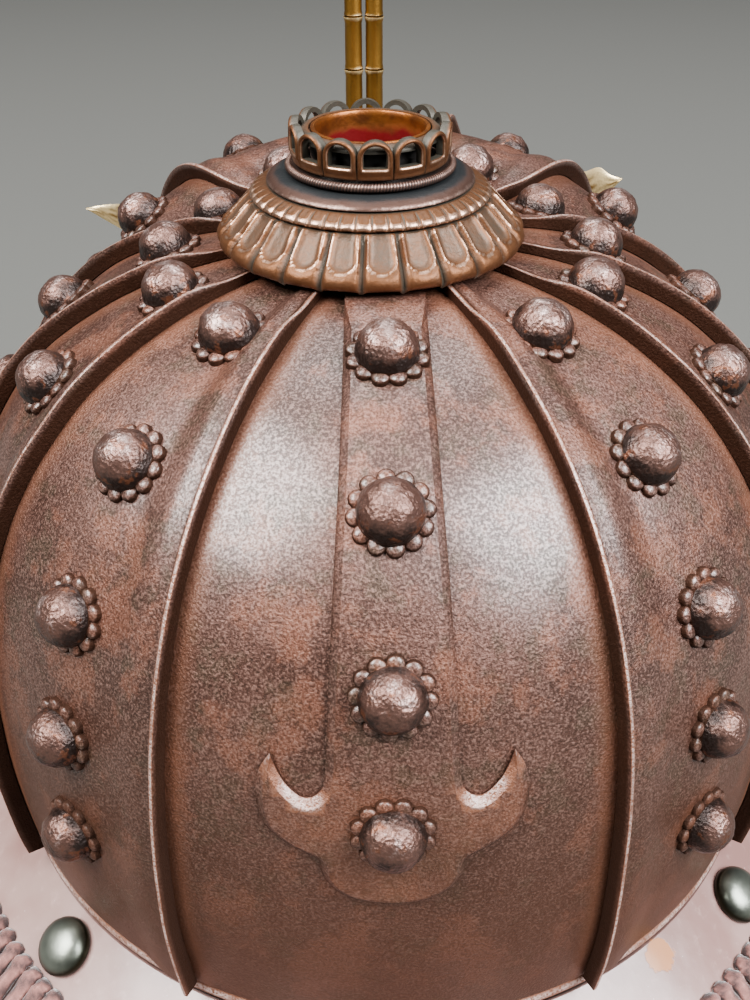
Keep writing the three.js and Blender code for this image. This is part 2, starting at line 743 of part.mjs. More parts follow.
// Each leaf's outline beyond its twig, along X and up Z.
const leftLeaf = [
  [30, 86], [52, 88], [66, 86.5], [80, 89], [97, 99.6], [82, 101], [66, 98.5], [52, 94], [30, 90.6],
];
const rightLeaf = [
  [-24, 94.6], [-46, 101], [-57, 110], [-62, 109.4], [-66, 113], [-70, 110.6], [-75, 112.4],
  [-78, 109.4], [-83, 108.4], [-76, 101], [-62, 95], [-46, 94], [-24, 91],
];

function addCrest() {
  addCrestHolder();
  addCrestStem('left');
  addCrestStem('right');
  const flatReach = stemRadius * Math.cos(Math.PI / stemSides) + clearance;
  const twigLeft = stemCentres.left + flatReach;
  const twigRight = stemCentres.right - flatReach;
  addLeaf('left', [[twigLeft, 78], ...leftLeaf, [twigLeft, 78 + twigWidth]]);
  addLeaf('right', [[twigRight, 84], [twigRight, 84 + twigWidth], ...rightLeaf]);
}

addBowlPlates();
addBackOverlay();
addCrown();
addRimBand();
addNeckGuard();
addLameRivets();
addPeak();
addCrest();

export default helmet;
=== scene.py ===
# A riveted iron helmet, seen from behind and above. Sizes are in millimetres until a piece is
# finished, when its mesh is scaled to metres. The peak faces -Y, the crown +Z, and turn angles
# run from the back towards +X.
import math

import bmesh
import bpy
from mathutils import Matrix, Vector, noise


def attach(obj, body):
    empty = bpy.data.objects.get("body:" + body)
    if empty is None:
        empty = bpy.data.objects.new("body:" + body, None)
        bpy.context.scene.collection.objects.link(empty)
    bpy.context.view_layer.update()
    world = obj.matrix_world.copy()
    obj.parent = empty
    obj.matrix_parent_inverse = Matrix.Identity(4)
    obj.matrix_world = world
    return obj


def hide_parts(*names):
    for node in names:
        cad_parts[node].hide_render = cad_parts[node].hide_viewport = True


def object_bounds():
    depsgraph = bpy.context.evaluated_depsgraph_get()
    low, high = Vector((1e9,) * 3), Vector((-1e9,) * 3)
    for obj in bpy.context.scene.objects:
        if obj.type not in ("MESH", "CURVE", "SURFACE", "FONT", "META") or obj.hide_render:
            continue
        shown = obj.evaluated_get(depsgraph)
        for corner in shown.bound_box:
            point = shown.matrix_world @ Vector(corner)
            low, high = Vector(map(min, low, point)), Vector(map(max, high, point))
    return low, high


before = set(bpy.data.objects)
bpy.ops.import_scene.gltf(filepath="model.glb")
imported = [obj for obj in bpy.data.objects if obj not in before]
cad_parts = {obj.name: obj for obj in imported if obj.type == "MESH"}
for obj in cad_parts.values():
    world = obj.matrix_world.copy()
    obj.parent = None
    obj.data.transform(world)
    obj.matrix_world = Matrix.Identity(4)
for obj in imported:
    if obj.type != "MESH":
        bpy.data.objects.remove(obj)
cad_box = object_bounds()

# Camera. It looks down on the helmet's back from close by, at the height of the crest.
millimetre = 0.001
camera_lens = 43.91
camera_sensor = 36
camera_near = 0.01
camera_turn = math.radians(0.72)
camera_elevation = math.radians(32.64)
camera_roll = math.radians(0.24)
camera_distance = 323.9
camera_target = Vector((1.7, 0, 63.57))

back = Vector((
    math.sin(camera_turn) * math.cos(camera_elevation),
    math.cos(camera_turn) * math.cos(camera_elevation),
    math.sin(camera_elevation),
))
right = (-back).cross(Vector((0, 0, 1))).normalized()
up = right.cross(-back)
tilt = Matrix.Rotation(camera_roll, 3, -back)
right = tilt @ right
up = tilt @ up
camera_data = bpy.data.cameras.new("camera")
camera_data.lens = camera_lens
camera_data.sensor_width = camera_sensor
camera_data.clip_start = camera_near
camera = bpy.data.objects.new("camera", camera_data)
bpy.context.collection.objects.link(camera)
axes = Matrix((right, up, back)).transposed().to_4x4()
camera_place = (camera_target + back * camera_distance) * millimetre
camera.matrix_world = Matrix.Translation(camera_place) @ axes
bpy.context.scene.camera = camera

# Bowl plates. Twelve hammered iron plates, russet-lacquered. Each laps over the one behind it
# and ends in a thin raised rib, and a column of large domed rivets runs down its middle.
bowl_half_width = 104
bowl_half_length = 112
wall_height = 36
dome_height = 102
squareness = 2.5
rim_tuck = 4
crown_shift = 10
front_rise = 21
front_rise_start = 24
front_rise_end = 64
plate_thickness = 1.8
clearance = 0.3
lap_step = plate_thickness + clearance
lap_width = 5
ramp_width = 12
rib_width = 1.3
rib_height = 2.4
rib_fade = (35, 48)
least_rib = 0.2
lap_share = 0.2
rib_share = 0.08
lap_cover = 0.85
ramp_steps = 7
under_tone = -0.4
plate_top_radius = 24
dome_rows = 52
wall_rows = 12
face_columns = 20
dent_size = 26
dent_depth = 0.45
dent_crown_fade = (34, 50)
dent_rim_fade = (1, 12)
ripple_size = 8
ripple_depth = 0.12
rust_width = 8
rust_tone = 0.34


class Wire:
    """A node's output in a material, on which arithmetic adds Math nodes."""

    def __init__(self, paint, socket):
        self.paint = paint
        self.socket = socket

    def math(self, operation, first, second=0.0):
        return self.paint.node("ShaderNodeMath", {"operation": operation}, {0: first, 1: second})

    def __add__(self, other):
        return self.math("ADD", self, other)

    __radd__ = __add__

    def __mul__(self, other):
        return self.math("MULTIPLY", self, other)

    __rmul__ = __mul__

    def __sub__(self, other):
        return self.math("SUBTRACT", self, other)

    def __rsub__(self, other):
        return self.math("SUBTRACT", other, self)

    def ramp(self, low, high):
        """0 below low, 1 above high, and a smooth rise between."""
        settings = {"interpolation_type": "SMOOTHSTEP"}
        return self.paint.node("ShaderNodeMapRange", settings, {0: self, 1: low, 2: high})


class Paint:
    """A material on one Principled shader, with helpers for its nodes."""

    def __init__(self, name, **constants):
        self.material = bpy.data.materials.new(name)
        self.material.use_nodes = True
        self.tree = self.material.node_tree
        self.tree.nodes.clear()
        self.shader = self.tree.nodes.new("ShaderNodeBsdfPrincipled")
        output = self.tree.nodes.new("ShaderNodeOutputMaterial")
        self.tree.links.new(self.shader.outputs[0], output.inputs[0])
        for socket, value in constants.items():
            self.shader.inputs[socket.replace("_", " ")].default_value = value
        self.place = self.node("ShaderNodeTexCoord", out="Object")
        self.tone = self.node("ShaderNodeAttribute", {"attribute_name": "tone"}, out="Fac")

    def node(self, kind, settings=None, inputs=None, out=0):
        made = self.tree.nodes.new(kind)
        for key, value in (settings or {}).items():
            setattr(made, key, value)
        for key, value in (inputs or {}).items():
            self.feed(made.inputs[key], value)
        return Wire(self, made.outputs[out])

    def feed(self, socket, value):
        if isinstance(value, Wire):
            self.tree.links.new(value.socket, socket)
        elif socket.type == "RGBA":
            socket.default_value = (*value, 1)
        else:
            socket.default_value = value

    def grain(self, size, detail=2.0, stretch=None, roughness=0.5):
        """Noise from 0 to 1 whose lumps are about size millimetres across."""
        place = self.place
        if stretch:
            place = self.node("ShaderNodeMapping", {}, {"Vector": place, "Scale": stretch})
        inputs = {"Vector": place, "Scale": 1000 / size, "Detail": detail, "Roughness": roughness}
        return self.node("ShaderNodeTexNoise", {}, inputs)

    def cells(self, size):
        """Distance from the nearest of scattered points about size millimetres apart."""
        return self.node("ShaderNodeTexVoronoi", {}, {"Vector": self.place, "Scale": 1000 / size})

    def height(self):
        return self.node("ShaderNodeSeparateXYZ", {}, {0: self.place}, out=2)

    def blend(self, share, first, second):
        """Two colours mixed, with the second's share from 0 to 1."""
        settings = {"data_type": "RGBA"}
        return self.node("ShaderNodeMix", settings, {0: share, 6: first, 7: second}, out=2)

    def bump(self, height, depth, below=None):
        """A bump of depth millimetres, over another where one is given."""
        inputs = {"Height": height, "Distance": depth * millimetre}
        if below:
            inputs["Normal"] = below
        return self.node("ShaderNodeBump", {}, inputs)

    def finish(self, color, roughness, normal, metallic=None, coat=None):
        for socket, value in (("Base Color", color), ("Roughness", roughness), ("Normal", normal),
                              ("Metallic", metallic), ("Coat Weight", coat)):
            if value is not None:
                self.feed(self.shader.inputs[socket], value)
        return self.material


def smoothstep(value, low, high):
    share = min(1.0, max(0.0, (value - low) / (high - low)))
    return share * share * (3 - 2 * share)


def russet_iron():
    """Russet lacquer over pitted iron, mottled with rust, olive and grey, and finely pebbled."""
    paint = Paint("russet_iron", Specular_IOR_Level=0.32, Coat_Roughness=0.32, Coat_IOR=1.9)
    pebbles = paint.grain(0.55, 3, roughness=0.62)
    stain = paint.grain(26, 4, roughness=0.6)
    patches = paint.grain(8, 4, roughness=0.65)
    warm = paint.grain(13, 4, roughness=0.65, stretch=(1, 1, 0.8))
    # low paints the bowl darker towards its foot, as painted shade where less light falls.
    low = 1 - paint.height().ramp(0.015, 0.105)
    shade = paint.tone.ramp(-0.1, -0.9)
    color = paint.blend(stain.ramp(0.38, 0.62), (0.05, 0.019, 0.012), (0.095, 0.042, 0.03))
    color = paint.blend(patches.ramp(0.5, 0.62) * 0.6, color, (0.05, 0.032, 0.018))
    color = paint.blend(warm.ramp(0.5, 0.62) * 0.65, color, (0.18, 0.066, 0.038))
    color = paint.blend(pebbles.ramp(0.5, 0.68) * 0.4, color, (0.34, 0.18, 0.135))
    color = paint.blend(pebbles.ramp(0.5, 0.34) * 0.65, color, (0.016, 0.008, 0.005))
    color = paint.blend(low * 0.75, color, (0.05, 0.0165, 0.006))
    color = paint.blend(paint.tone.ramp(0.05, 0.5) * 0.8, color, (0.22, 0.085, 0.045))
    # Tone from 0.5 to 1 paints rib tops, up-facing bevels and rolled edges pale, as wear and as a
    # painted highlight.
    wear_and_highlight = pebbles.ramp(0.36, 0.56) * (0.3 + patches.ramp(0.35, 0.6) * 0.7)
    color = paint.blend(paint.tone.ramp(0.5, 1.0) * wear_and_highlight, color, (0.58, 0.44, 0.4))
    # Painted shade: tone below zero darkens the ribs' hidden sides, the overlay's foot, the band's
    # underside and the peak's root, and makes them more metallic so that they reflect less.
    color = paint.blend(shade * 0.9, color, (0.034, 0.015, 0.009))
    roughness = 0.34 + patches * 0.1 + (pebbles - 0.5) * 0.3 + low * 0.14 + shade * 0.35
    metallic = 0.35 + stain * 0.3 + shade * 0.5 - low * 0.2
    gloss = (0.2 + pebbles.ramp(0.42, 0.6) * 0.5) * (1 - low * 0.85) * (1 - shade)
    bump = paint.bump(paint.grain(3.4, 3), 0.14)
    bump = paint.bump(pebbles, 0.3, bump)
    return paint.finish(color, roughness, bump, metallic=metallic, coat=gloss)


russet = russet_iron()


def level_radius(station):
    """The bowl's half width at a station: 0 to pi/2 up the dome, 0 to -1 down the wall."""
    if station < 0:
        return bowl_half_width - rim_tuck * station * station
    return bowl_half_width * math.cos(station) ** (2 / squareness)


def station_at_radius(radius):
    return math.acos((radius / bowl_half_width) ** (squareness / 2))


def bowl_surface(station, turn):
    radius = level_radius(station)
    dome = 0 if station < 0 else dome_height * math.sin(station) ** (2 / squareness)
    wall = wall_height * (1 + station) if station < 0 else wall_height
    share = radius / bowl_half_width
    y = (radius + (bowl_half_length - bowl_half_width) * share) * math.cos(turn)
    y += crown_shift * (1 - share * share)
    rise = front_rise * smoothstep(-y, front_rise_start, front_rise_end) * dome / dome_height
    return Vector((radius * math.sin(turn), y, wall + dome + rise))


def bowl_normal(station, turn):
    nudge = 1e-3
    down = bowl_surface(station - nudge, turn) - bowl_surface(station + nudge, turn)
    across = bowl_surface(station, turn + nudge) - bowl_surface(station, turn - nudge)
    normal = down.cross(across).normalized()
    inside = Vector((0, 0, wall_height / 2))
    if normal.dot(bowl_surface(station, turn) - inside) < 0:
        normal.negate()
    if station < 0:
        normal.z *= 1 + station
    return normal.normalized()


def bowl_point(station, turn, height):
    """A point over the bowl's base surface, with the hammer's shallow dents in it."""
    place = bowl_surface(station, turn)
    fade = smoothstep(level_radius(station), *dent_crown_fade) * smoothstep(place.z, *dent_rim_fade)
    dents = dent_depth * noise.noise(place / dent_size)
    dents += ripple_depth * noise.noise(place / ripple_size)
    return place + bowl_normal(station, turn) * (height + dents * fade)


def mapped_grid(columns, rows, place):
    """A flat grid of points, each moved to where place puts it, with its tone."""
    bm = bmesh.new()
    bmesh.ops.create_grid(bm, x_segments=columns - 1, y_segments=rows - 1, size=0.5)
    tone = bm.verts.layers.float.new("tone")
    for vert in bm.verts:
        column = round((vert.co.x + 0.5) * (columns - 1))
        row = round((vert.co.y + 0.5) * (rows - 1))
        vert.co, vert[tone] = place(column, row)
    return bm


def close(bm, ends=False):
    """Welds a grid's seam, fills its open ends where asked and turns its faces out."""
    bmesh.ops.remove_doubles(bm, verts=bm.verts, dist=1e-4)
    if ends:
        bmesh.ops.holes_fill(bm, edges=bm.edges, sides=0)
    bmesh.ops.recalc_face_normals(bm, faces=bm.faces)
    return bm


def merge(bm, others):
    """Adds other meshes to one, each as its own closed shell."""
    for other in others:
        mesh = bpy.data.meshes.new("merged")
        other.to_mesh(mesh)
        other.free()
        bm.from_mesh(mesh)
        bpy.data.meshes.remove(mesh)
    return bm


def add_piece(bm, name, material, nodes, sharp_angle=40):
    """Makes a finished mesh into a piece of the helmet in place of its CAD nodes."""
    bm.transform(Matrix.Scale(millimetre, 4))
    mesh = bpy.data.meshes.new(name)
    bm.to_mesh(mesh)
    bm.free()
    for paint in (material if isinstance(material, tuple) else (material,)):
        mesh.materials.append(paint)
    mesh.shade_smooth()
    mesh.set_sharp_from_angle(angle=math.radians(sharp_angle))
    piece = bpy.data.objects.new(name, mesh)
    bpy.context.collection.objects.link(piece)
    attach(piece, "root")
    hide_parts(*nodes)
    return piece


top_station = station_at_radius(plate_top_radius)
stations = [top_station * (1 - i / dome_rows) for i in range(dome_rows)]
stations += [-i / wall_rows for i in range(wall_rows + 1)]


def spread(start, end, count):
    """Values from start to end, both left out."""
    return [start + (end - start) * (i + 1) / (count + 1) for i in range(count)]


def lap_turns(station, span):
    """The widths of a plate's lap, ramp and rib as turn angles, and its rib's height."""
    radius = level_radius(station)
    lap = min(lap_width / radius, lap_share * span)
    ramp = lap + min(ramp_width / radius, lap_share * span)
    rib = min(rib_width / radius, rib_share * span)
    return lap, ramp, rib, max(least_rib, rib_height * smoothstep(radius, *rib_fade))


# The rib's section as shares of its width and height, with its tone. The side that faces the
# plate behind is painted dark at its foot as shade, and only the narrow top is painted bright, as
# wear and as a highlight.
rib_profile = (
    (0.0, 0.3, -0.9), (0.0, 0.9, -0.25), (0.05, 0.97, 0.3), (0.18, 1.0, 0.9), (0.5, 1.0, 0.85),
    (0.7, 0.94, 0.2), (0.84, 0.6, -0.6), (0.95, 0.25, -1.0), (1.2, 0.08, -0.6), (2.0, 0.0, 0.0),
)


def lapped_edge(start, station, span, side=1):
    """A plate's raised edge and ramp: turn, height and tone. A side of -1 runs it backwards."""
    lap, ramp, rib, rise = lap_turns(station, span)
    top = lap_step + plate_thickness
    outer = [(start, lap_step, -1.0)]
    for width, height, tone in rib_profile:
        outer.append((start + side * rib * width, top + rise * height, tone))
    outer += [(start + side * lap, top, 0.0)]
    inner = [(start + side * lap, lap_step, under_tone)]
    for i in range(1, ramp_steps + 1):
        turn = start + side * (lap + (ramp - lap) * i / ramp_steps)
        drop = lap_step * smoothstep(i, 0, ramp_steps)
        outer.append((turn, top - drop, 0.0))
        inner.append((turn, lap_step - drop, under_tone))
    return outer, inner, start + side * ramp


def seam_rust(turn, seam, station):
    """The tone of the rust that gathers where the next plate's edge lies over this one."""
    reach = rust_width / level_radius(station)
    return rust_tone * smoothstep(reach - abs(seam - abs(turn)), 0, reach)


def plate_section(station, start, end, next_span):
    """A side plate's closed section at one station: turn, height and tone of each point."""
    outer, inner, ramp_end = lapped_edge(start, station, end - start)
    under = end + lap_cover * lap_turns(station, next_span)[0]
    face = spread(ramp_end, end, face_columns) + [end, under]
    outer += [(turn, plate_thickness, seam_rust(turn, end, station)) for turn in face]
    bottom = [(turn, 0.0, under_tone) for turn in reversed(face)]
    return outer + bottom + inner[::-1]


def back_section(station, half_span, next_span):
    under = half_span + lap_cover * lap_turns(station, next_span)[0]
    face = [-under, *spread(-half_span, half_span, 2 * face_columns), under]
    outer = [(turn, plate_thickness, seam_rust(turn, half_span, station)) for turn in face]
    return outer + [(turn, 0.0, under_tone) for turn in reversed(face)]


def front_section(station, start):
    end = 2 * math.pi - start
    outer, inner, ramp_end = lapped_edge(start, station, end - start)
    far_outer, far_inner, far_ramp_end = lapped_edge(end, station, end - start, side=-1)
    face = spread(ramp_end, far_ramp_end, face_columns)
    top = outer + [(turn, plate_thickness, 0.0) for turn in face] + far_outer[::-1]
    bottom = far_inner + [(turn, 0.0, under_tone) for turn in reversed(face)] + inner[::-1]
    return top + bottom


def swept_plate(section_at, side=1):
    sections = [section_at(station) for station in stations]
    columns = len(sections[0])

    def place(column, row):
        turn, height, tone = sections[row][column % columns]
        return bowl_point(stations[row], side * turn, height), tone

    return close(mapped_grid(columns + 1, len(stations), place), ends=True)


# Rivets. Each is a hammered iron dome over a washer of twelve round petals, its shank driven
# through the plate. It is painted dark as shade at its foot, between its petals and underneath,
# and painted silvery as a highlight on its top.
washer_petals = 12
washer_columns = 72
washer_rows = 8
petal_centre = 6.5
petal_radius = 1.85
petal_height = 1.25
dome_radius = 6.4
dome_rows_up = 14
rivet_height = 7.4
rivet_foot = 0.7
washer_lift = 0.15
washer_depth = 1.0
hammer_marks = ((2.1, 0.24), (0.9, 0.1))
seed_step = (7.3, 3.1, 0)
spin_step = 1.9


def hammered_iron():
    """Bare dark iron, beaten all over with small blows, with rust in a few of its pits."""
    paint = Paint("hammered_iron", Specular_IOR_Level=0.8)
    blows = paint.cells(0.8)
    fine = paint.grain(0.5, 3, roughness=0.6)
    cloud = paint.grain(3.2, 3, roughness=0.6)
    # tint carries the tone, which paints the dome's foot and underside dark as shade and its top pale
    # silver as a highlight, mixed with real mottling from the noise.
    tint = paint.tone + (cloud - 0.5) * 1.8 + (fine - 0.5) * 1.2
    color = paint.blend(tint.ramp(-1.0, 0.2), (0.016, 0.008, 0.006), (0.125, 0.063, 0.048))
    color = paint.blend(tint.ramp(0.1, 1.0), color, (0.52, 0.38, 0.35))
    color = paint.blend(cloud.ramp(0.57, 0.66) * 0.7, color, (0.14, 0.045, 0.018))
    roughness = 0.27 + fine * 0.22
    bump = paint.bump(blows + fine * 0.8, 0.15)
    return paint.finish(color, roughness, bump, metallic=0.7 + tint.ramp(-0.5, 0.8) * 0.25)


hammered = hammered_iron()


def washer_point(turn, row):
    """Radius, height and tone over the petals, from their outer edge in to the dome."""
    pitch = 2 * math.pi / washer_petals
    offset = (turn / pitch + 0.5) % 1 * pitch - pitch / 2
    half = math.sqrt(max(0.0, petal_radius ** 2 - (petal_centre * math.sin(offset)) ** 2))
    reach = petal_centre * math.cos(offset) + half
    share = (row / (washer_rows - 1)) ** 1.6
    radius = reach + (dome_radius * 0.96 - reach) * share
    aside = petal_centre * math.sin(offset)
    ahead = radius - petal_centre * math.cos(offset)
    swell = max(0.0, 1 - (aside ** 2 + ahead ** 2) / petal_radius ** 2) ** 0.4
    # The tone paints shade round the petals' edges and between them.
    return radius, washer_lift + petal_height * swell, -0.8 + 0.9 * smoothstep(swell, 0.4, 0.8)


def rivet(place, direction, seed, spin):
    """One rivet stood on a point of the bowl along a direction."""
    stand = direction.to_track_quat("Z", "Y").to_matrix()
    rows = 1 + washer_rows + dome_rows_up + 1

    def at(column, row):
        turn = 2 * math.pi * (column % washer_columns) / washer_columns
        if row <= washer_rows:
            radius, height, tone = washer_point(turn, max(0, row - 1))
            height = height if row else -washer_depth
            return place + stand @ Vector((
                radius * math.cos(turn + spin), radius * math.sin(turn + spin), height)), tone
        rise = (row - washer_rows - 1) / dome_rows_up * math.pi / 2
        radius = dome_radius * math.cos(rise) ** 0.85
        local = Vector((radius * math.cos(turn), radius * math.sin(turn), rivet_foot))
        local.z += (rivet_height - rivet_foot) * math.sin(rise)
        if row == rows - 1:
            local.xy = (0, 0)
        hammer = sum(depth * noise.noise(local / size + seed) for size, depth in hammer_marks)
        local += local.normalized() * hammer
        # The tone paints shade at the dome's foot and on its downward side, and a highlight on its top
        # and upward side; the noise term is real mottling.
        tone = -1.0 + 1.15 * smoothstep(rise, 0.1, 1.0) + 0.5 * noise.noise(local / 2.6 + seed * 2)
        spot = stand @ local
        upward = spot.normalized().z
        return place + spot, tone + min(0.0, upward - 0.4) + 0.5 * max(0.0, upward - 0.5)

    bm = close(mapped_grid(washer_columns + 1, rows, at), ends=True)
    for face in bm.faces:
        foot = (face.calc_center_median() - place).dot(direction)
        face.material_index = 1 if foot > petal_height + 0.4 else 0
    return bm


rivet_count = 0


def bowl_rivets(turn, rows, height):
    """A column of rivets, all at one turn angle."""
    global rivet_count
    column = []
    for station in map(math.radians, rows):
        rivet_count += 1
        place = bowl_point(station, turn, height)
        seed = Vector([rivet_count * step for step in seed_step])
        column.append(rivet(place, bowl_normal(station, turn), seed, rivet_count * spin_step))
    return column


# Each side plate's back edge and rivet column in degrees from the back, and its rivets' rows.
side_plates = (
    (25, 40, (67.7, 47, 26.2, 10.6, -1)),
    (57, 69.5, (67.7, 47, 26.2, 10.6, -1)),
    (81, 98.5, (66.5, 47, 28.5, 11, -1)),
    (109, 126.5, (67, 47, 28, 11, -1)),
    (137, 152, (67, 47, 28, 11, -1)),
)
front_edge = 162
edges = [math.radians(edge) for edge, _, _ in side_plates] + [math.radians(front_edge)]
ends = edges[1:] + [2 * math.pi - edges[-1]]
spans = [end - edge for edge, end in zip(edges, ends)]

bare = swept_plate(lambda station: back_section(station, edges[0], spans[0]))
add_piece(bare, "plate_back", russet, ["bowl_plate_back"])
for side, side_name in ((1, "left"), (-1, "right")):
    for i, (_, rivets, rows) in enumerate(side_plates):
        bare = swept_plate(
            lambda station, i=i: plate_section(station, edges[i], edges[i + 1], spans[i + 1]), side)
        merge(bare, bowl_rivets(side * math.radians(rivets), rows, plate_thickness))
        name = f"plate_{side_name}_{i + 1}"
        add_piece(bare, name, (russet, hammered), [f"bowl_{name}"])
bare = swept_plate(lambda station: front_section(station, edges[-1]))
merge(bare, bowl_rivets(math.pi, (67, 47, 28, 11), plate_thickness))
add_piece(bare, "plate_front", (russet, hammered), ["bowl_plate_front"])

# Back overlay. A long strip riveted down the back plate, that ends in two curled points over a
# lobed tail. It is cut from thin iron, and its edges are filed to a bevel.
overlay_thickness = 1.6
overlay_bevel = 1.5
overlay_drop = 1.15
overlay_cell = 3.0
overlay_width = (-26, 26)
overlay_height = (40, 139)
overlay_rust = 0.2
overlay_rust_height = (60, 90)
inset_tries = 16
inset_tolerance = 0.97
over_back_tries = 6
overlay_limits = (1.0, wall_height + dome_height - 0.5)
overlay_lit_below = 100
# Half widths and heights from the strip's top to the point, and from there to the middle.
overlay_strip = ((8.2, 139.5), (9, 127), (10.7, 105), (11.8, 88), (12.6, 74), (14, 70),
                 (16.8, 68.8), (19.8, 71.2), (21.6, 74.2), (22.8, 77.3))
overlay_tail = ((22.8, 77.3), (25, 73.4), (25.8, 67.5), (24.5, 61.8), (21, 58.2), (16.6, 55.7),
                (14.2, 54.2), (13.6, 50.6), (11.6, 47.2), (8.6, 44.9), (4.6, 43.6), (0, 43.2))


def smooth_path(points, steps):
    """A Catmull-Rom curve through points, of any dimension."""
    path = []
    vectors = [Vector(point) for point in points]
    for i in range(len(vectors) - 1):
        before = vectors[max(0, i - 1)]
        start, end = vectors[i], vectors[i + 1]
        after = vectors[min(len(vectors) - 1, i + 2)]
        for k in range(steps):
            t = k / steps
            path.append(0.5 * (2 * start + (end - before) * t
                               + (2 * before - 5 * start + 4 * end - after) * t * t
                               + (3 * start - before - 3 * end + after) * t ** 3))
    return path + [vectors[-1]]


def over_back(x, height, z):
    """The point over the back of the bowl that is seen straight from behind at x and z."""
    seen_x, seen_z = x, z
    for _ in range(over_back_tries):
        level = min(max(seen_z, overlay_limits[0]), overlay_limits[1])
        if level < wall_height:
            station = level / wall_height - 1
        else:
            station = math.asin(((level - wall_height) / dome_height) ** (squareness / 2))
        radius = level_radius(station)
        turn = math.asin(max(-0.99, min(0.99, seen_x / radius)))
        place = bowl_point(station, turn, height)
        seen_x += x - place.x
        seen_z += z - place.z
    return bowl_point(station, turn, height)


def inset_point(points, index, most):
    """A point moved into a closed outline, by as much as its narrow ends leave room for."""
    spot = points[index]
    along = (points[(index + 1) % len(points)] - points[index - 1]).normalized()
    inward = Vector((-along.y, along.x))
    for offset in [most * (1 - i / inset_tries) for i in range(inset_tries)]:
        moved = spot + inward * offset
        nearest = min(segment_distance(moved, points[i - 1], points[i]) for i in range(len(points)))
        if nearest > inset_tolerance * offset:
            break
    return moved, inward


def segment_distance(spot, start, end):
    step = end - start
    share = max(0.0, min(1.0, (spot - start).dot(step) / step.length_squared))
    return (spot - start - step * share).length


low_face = plate_thickness + clearance
high_face = low_face + overlay_thickness
edge_face = high_face - overlay_drop
half_outline = smooth_path(overlay_strip, 4)[:-1] + smooth_path(overlay_tail, 5)
outline = [Vector((-point.x, point.y)) for point in half_outline]
outline += [point.copy() for point in reversed(half_outline[:-1])]
overlay = bmesh.new()
overlay_tone = overlay.verts.layers.float.new("tone")
face = overlay.faces.new([overlay.verts.new((x, low_face, z)) for x, z in outline])
for vert in face.verts:
    # The overlay's foot is painted dark as shade.
    vert[overlay_tone] = -1.0
for level in ("wall", "bevel"):
    base = face
    raised = bmesh.ops.extrude_face_region(overlay, geom=[base])["geom"]
    face = next(item for item in raised if isinstance(item, bmesh.types.BMFace))
    spots = [Vector((vert.co.x, vert.co.z)) for vert in face.verts]
    for i, vert in enumerate(face.verts):
        moved, inward = inset_point(spots, i, overlay_bevel)
        # light paints a highlight on edges whose bevels face up, below overlay_lit_below; the wall
        # under an edge that faces down is painted dark as shade.
        light = max(0.0, -inward.y) if moved.y < overlay_lit_below else 0.0
        if level == "wall":
            vert[overlay_tone] = 2.4 * light - 0.6
            vert.co.y = edge_face
        else:
            vert[overlay_tone] = 0.9 * light + 0.1
            vert.co = (moved.x, high_face, moved.y)
    if level == "bevel":
        bmesh.ops.delete(overlay, geom=[base], context="FACES_ONLY")
flat = [face for face in overlay.faces if len(face.verts) > 4]
bmesh.ops.triangulate(overlay, faces=flat)
overlay.normal_update()
for (low, high), axis in ((overlay_width, Vector((1, 0, 0))), (overlay_height, Vector((0, 0, 1)))):
    for cut in spread(low, high, int((high - low) / overlay_cell)):
        geom = overlay.verts[:] + overlay.edges[:] + overlay.faces[:]
        bmesh.ops.bisect_plane(overlay, geom=geom, dist=1e-5, plane_co=axis * cut, plane_no=axis)
for vert in overlay.verts:
    if all(abs(face.normal.y) > 0.99 for face in vert.link_faces):
        vert[overlay_tone] = overlay_rust * (1 - smoothstep(vert.co.z, *overlay_rust_height))
    vert.co = over_back(*vert.co)
close(overlay)
merge(overlay, bowl_rivets(0, (67.7, 47, 26.2, 10.6), high_face))
add_piece(overlay, "back_overlay", (russet, hammered), ["back_overlay"], sharp_angle=30)

# Crown fitting. Six rings of copper stacked about a tube: a rosette of petals, a beaded ring, a
# domed step, a twisted wire, a pierced arcade and the tube, which is red inside. All are brown
# with age, dark or green in their hollows, and bright on their raised edges, where hands have
# rubbed them and where highlights are painted.
crown_centre = Vector((2.5, 10, 0))
seat_height = 142
ring_bore = 13.3
petal_count = 24
petal_phase = math.radians(-3.5)
rosette_columns = petal_count * 16
rosette_top = seat_height + 8.5
bead_count = 48
bead_columns = bead_count * 8
bead_bottom = rosette_top + clearance
bead_height = 2.7
step_bottom = bead_bottom + bead_height + clearance
rope_bottom = step_bottom + 2.2 + clearance
rope_strands = 170
arcade_bottom = rope_bottom + 1.7 + clearance
arcade_height = 8.3
tube_bore = 11.8
tube_radius = 13
tube_bottom = seat_height - 9
tube_top = arcade_bottom + arcade_height - 1.4
red_below = 0.1615


def aged_copper(name, dark, warm, bright):
    """Copper with patina in its hollows: tone runs from -1 in a groove to 1 on an edge that is worn and
    painted bright as a highlight.
    """
    paint = Paint(name)
    cloud = paint.grain(5, 4, roughness=0.6)
    fine = paint.grain(0.6, 3)
    wear_and_light = paint.tone + (cloud - 0.5) * 0.9 + (fine - 0.5) * 0.5
    color = paint.blend(wear_and_light.ramp(-0.75, 0.35), dark, warm)
    color = paint.blend(wear_and_light.ramp(0.4, 1.15), color, bright)
    color = paint.blend(cloud.ramp(0.62, 0.8) * 0.35, color, (0.05, 0.055, 0.05))
    roughness = 0.42 + cloud * 0.14 - wear_and_light.ramp(0.3, 1.1) * 0.16
    bump = paint.bump(paint.grain(1.6, 3), 0.12)
    bump = paint.bump(fine, 0.06, bump)
    metallic = 0.5 + wear_and_light.ramp(-0.5, 0.8) * 0.45
    return paint.finish(color, roughness, bump, metallic=metallic)


copper = aged_copper("aged_copper", (0.045, 0.04, 0.03), (0.115, 0.046, 0.018), (0.52, 0.32, 0.22))


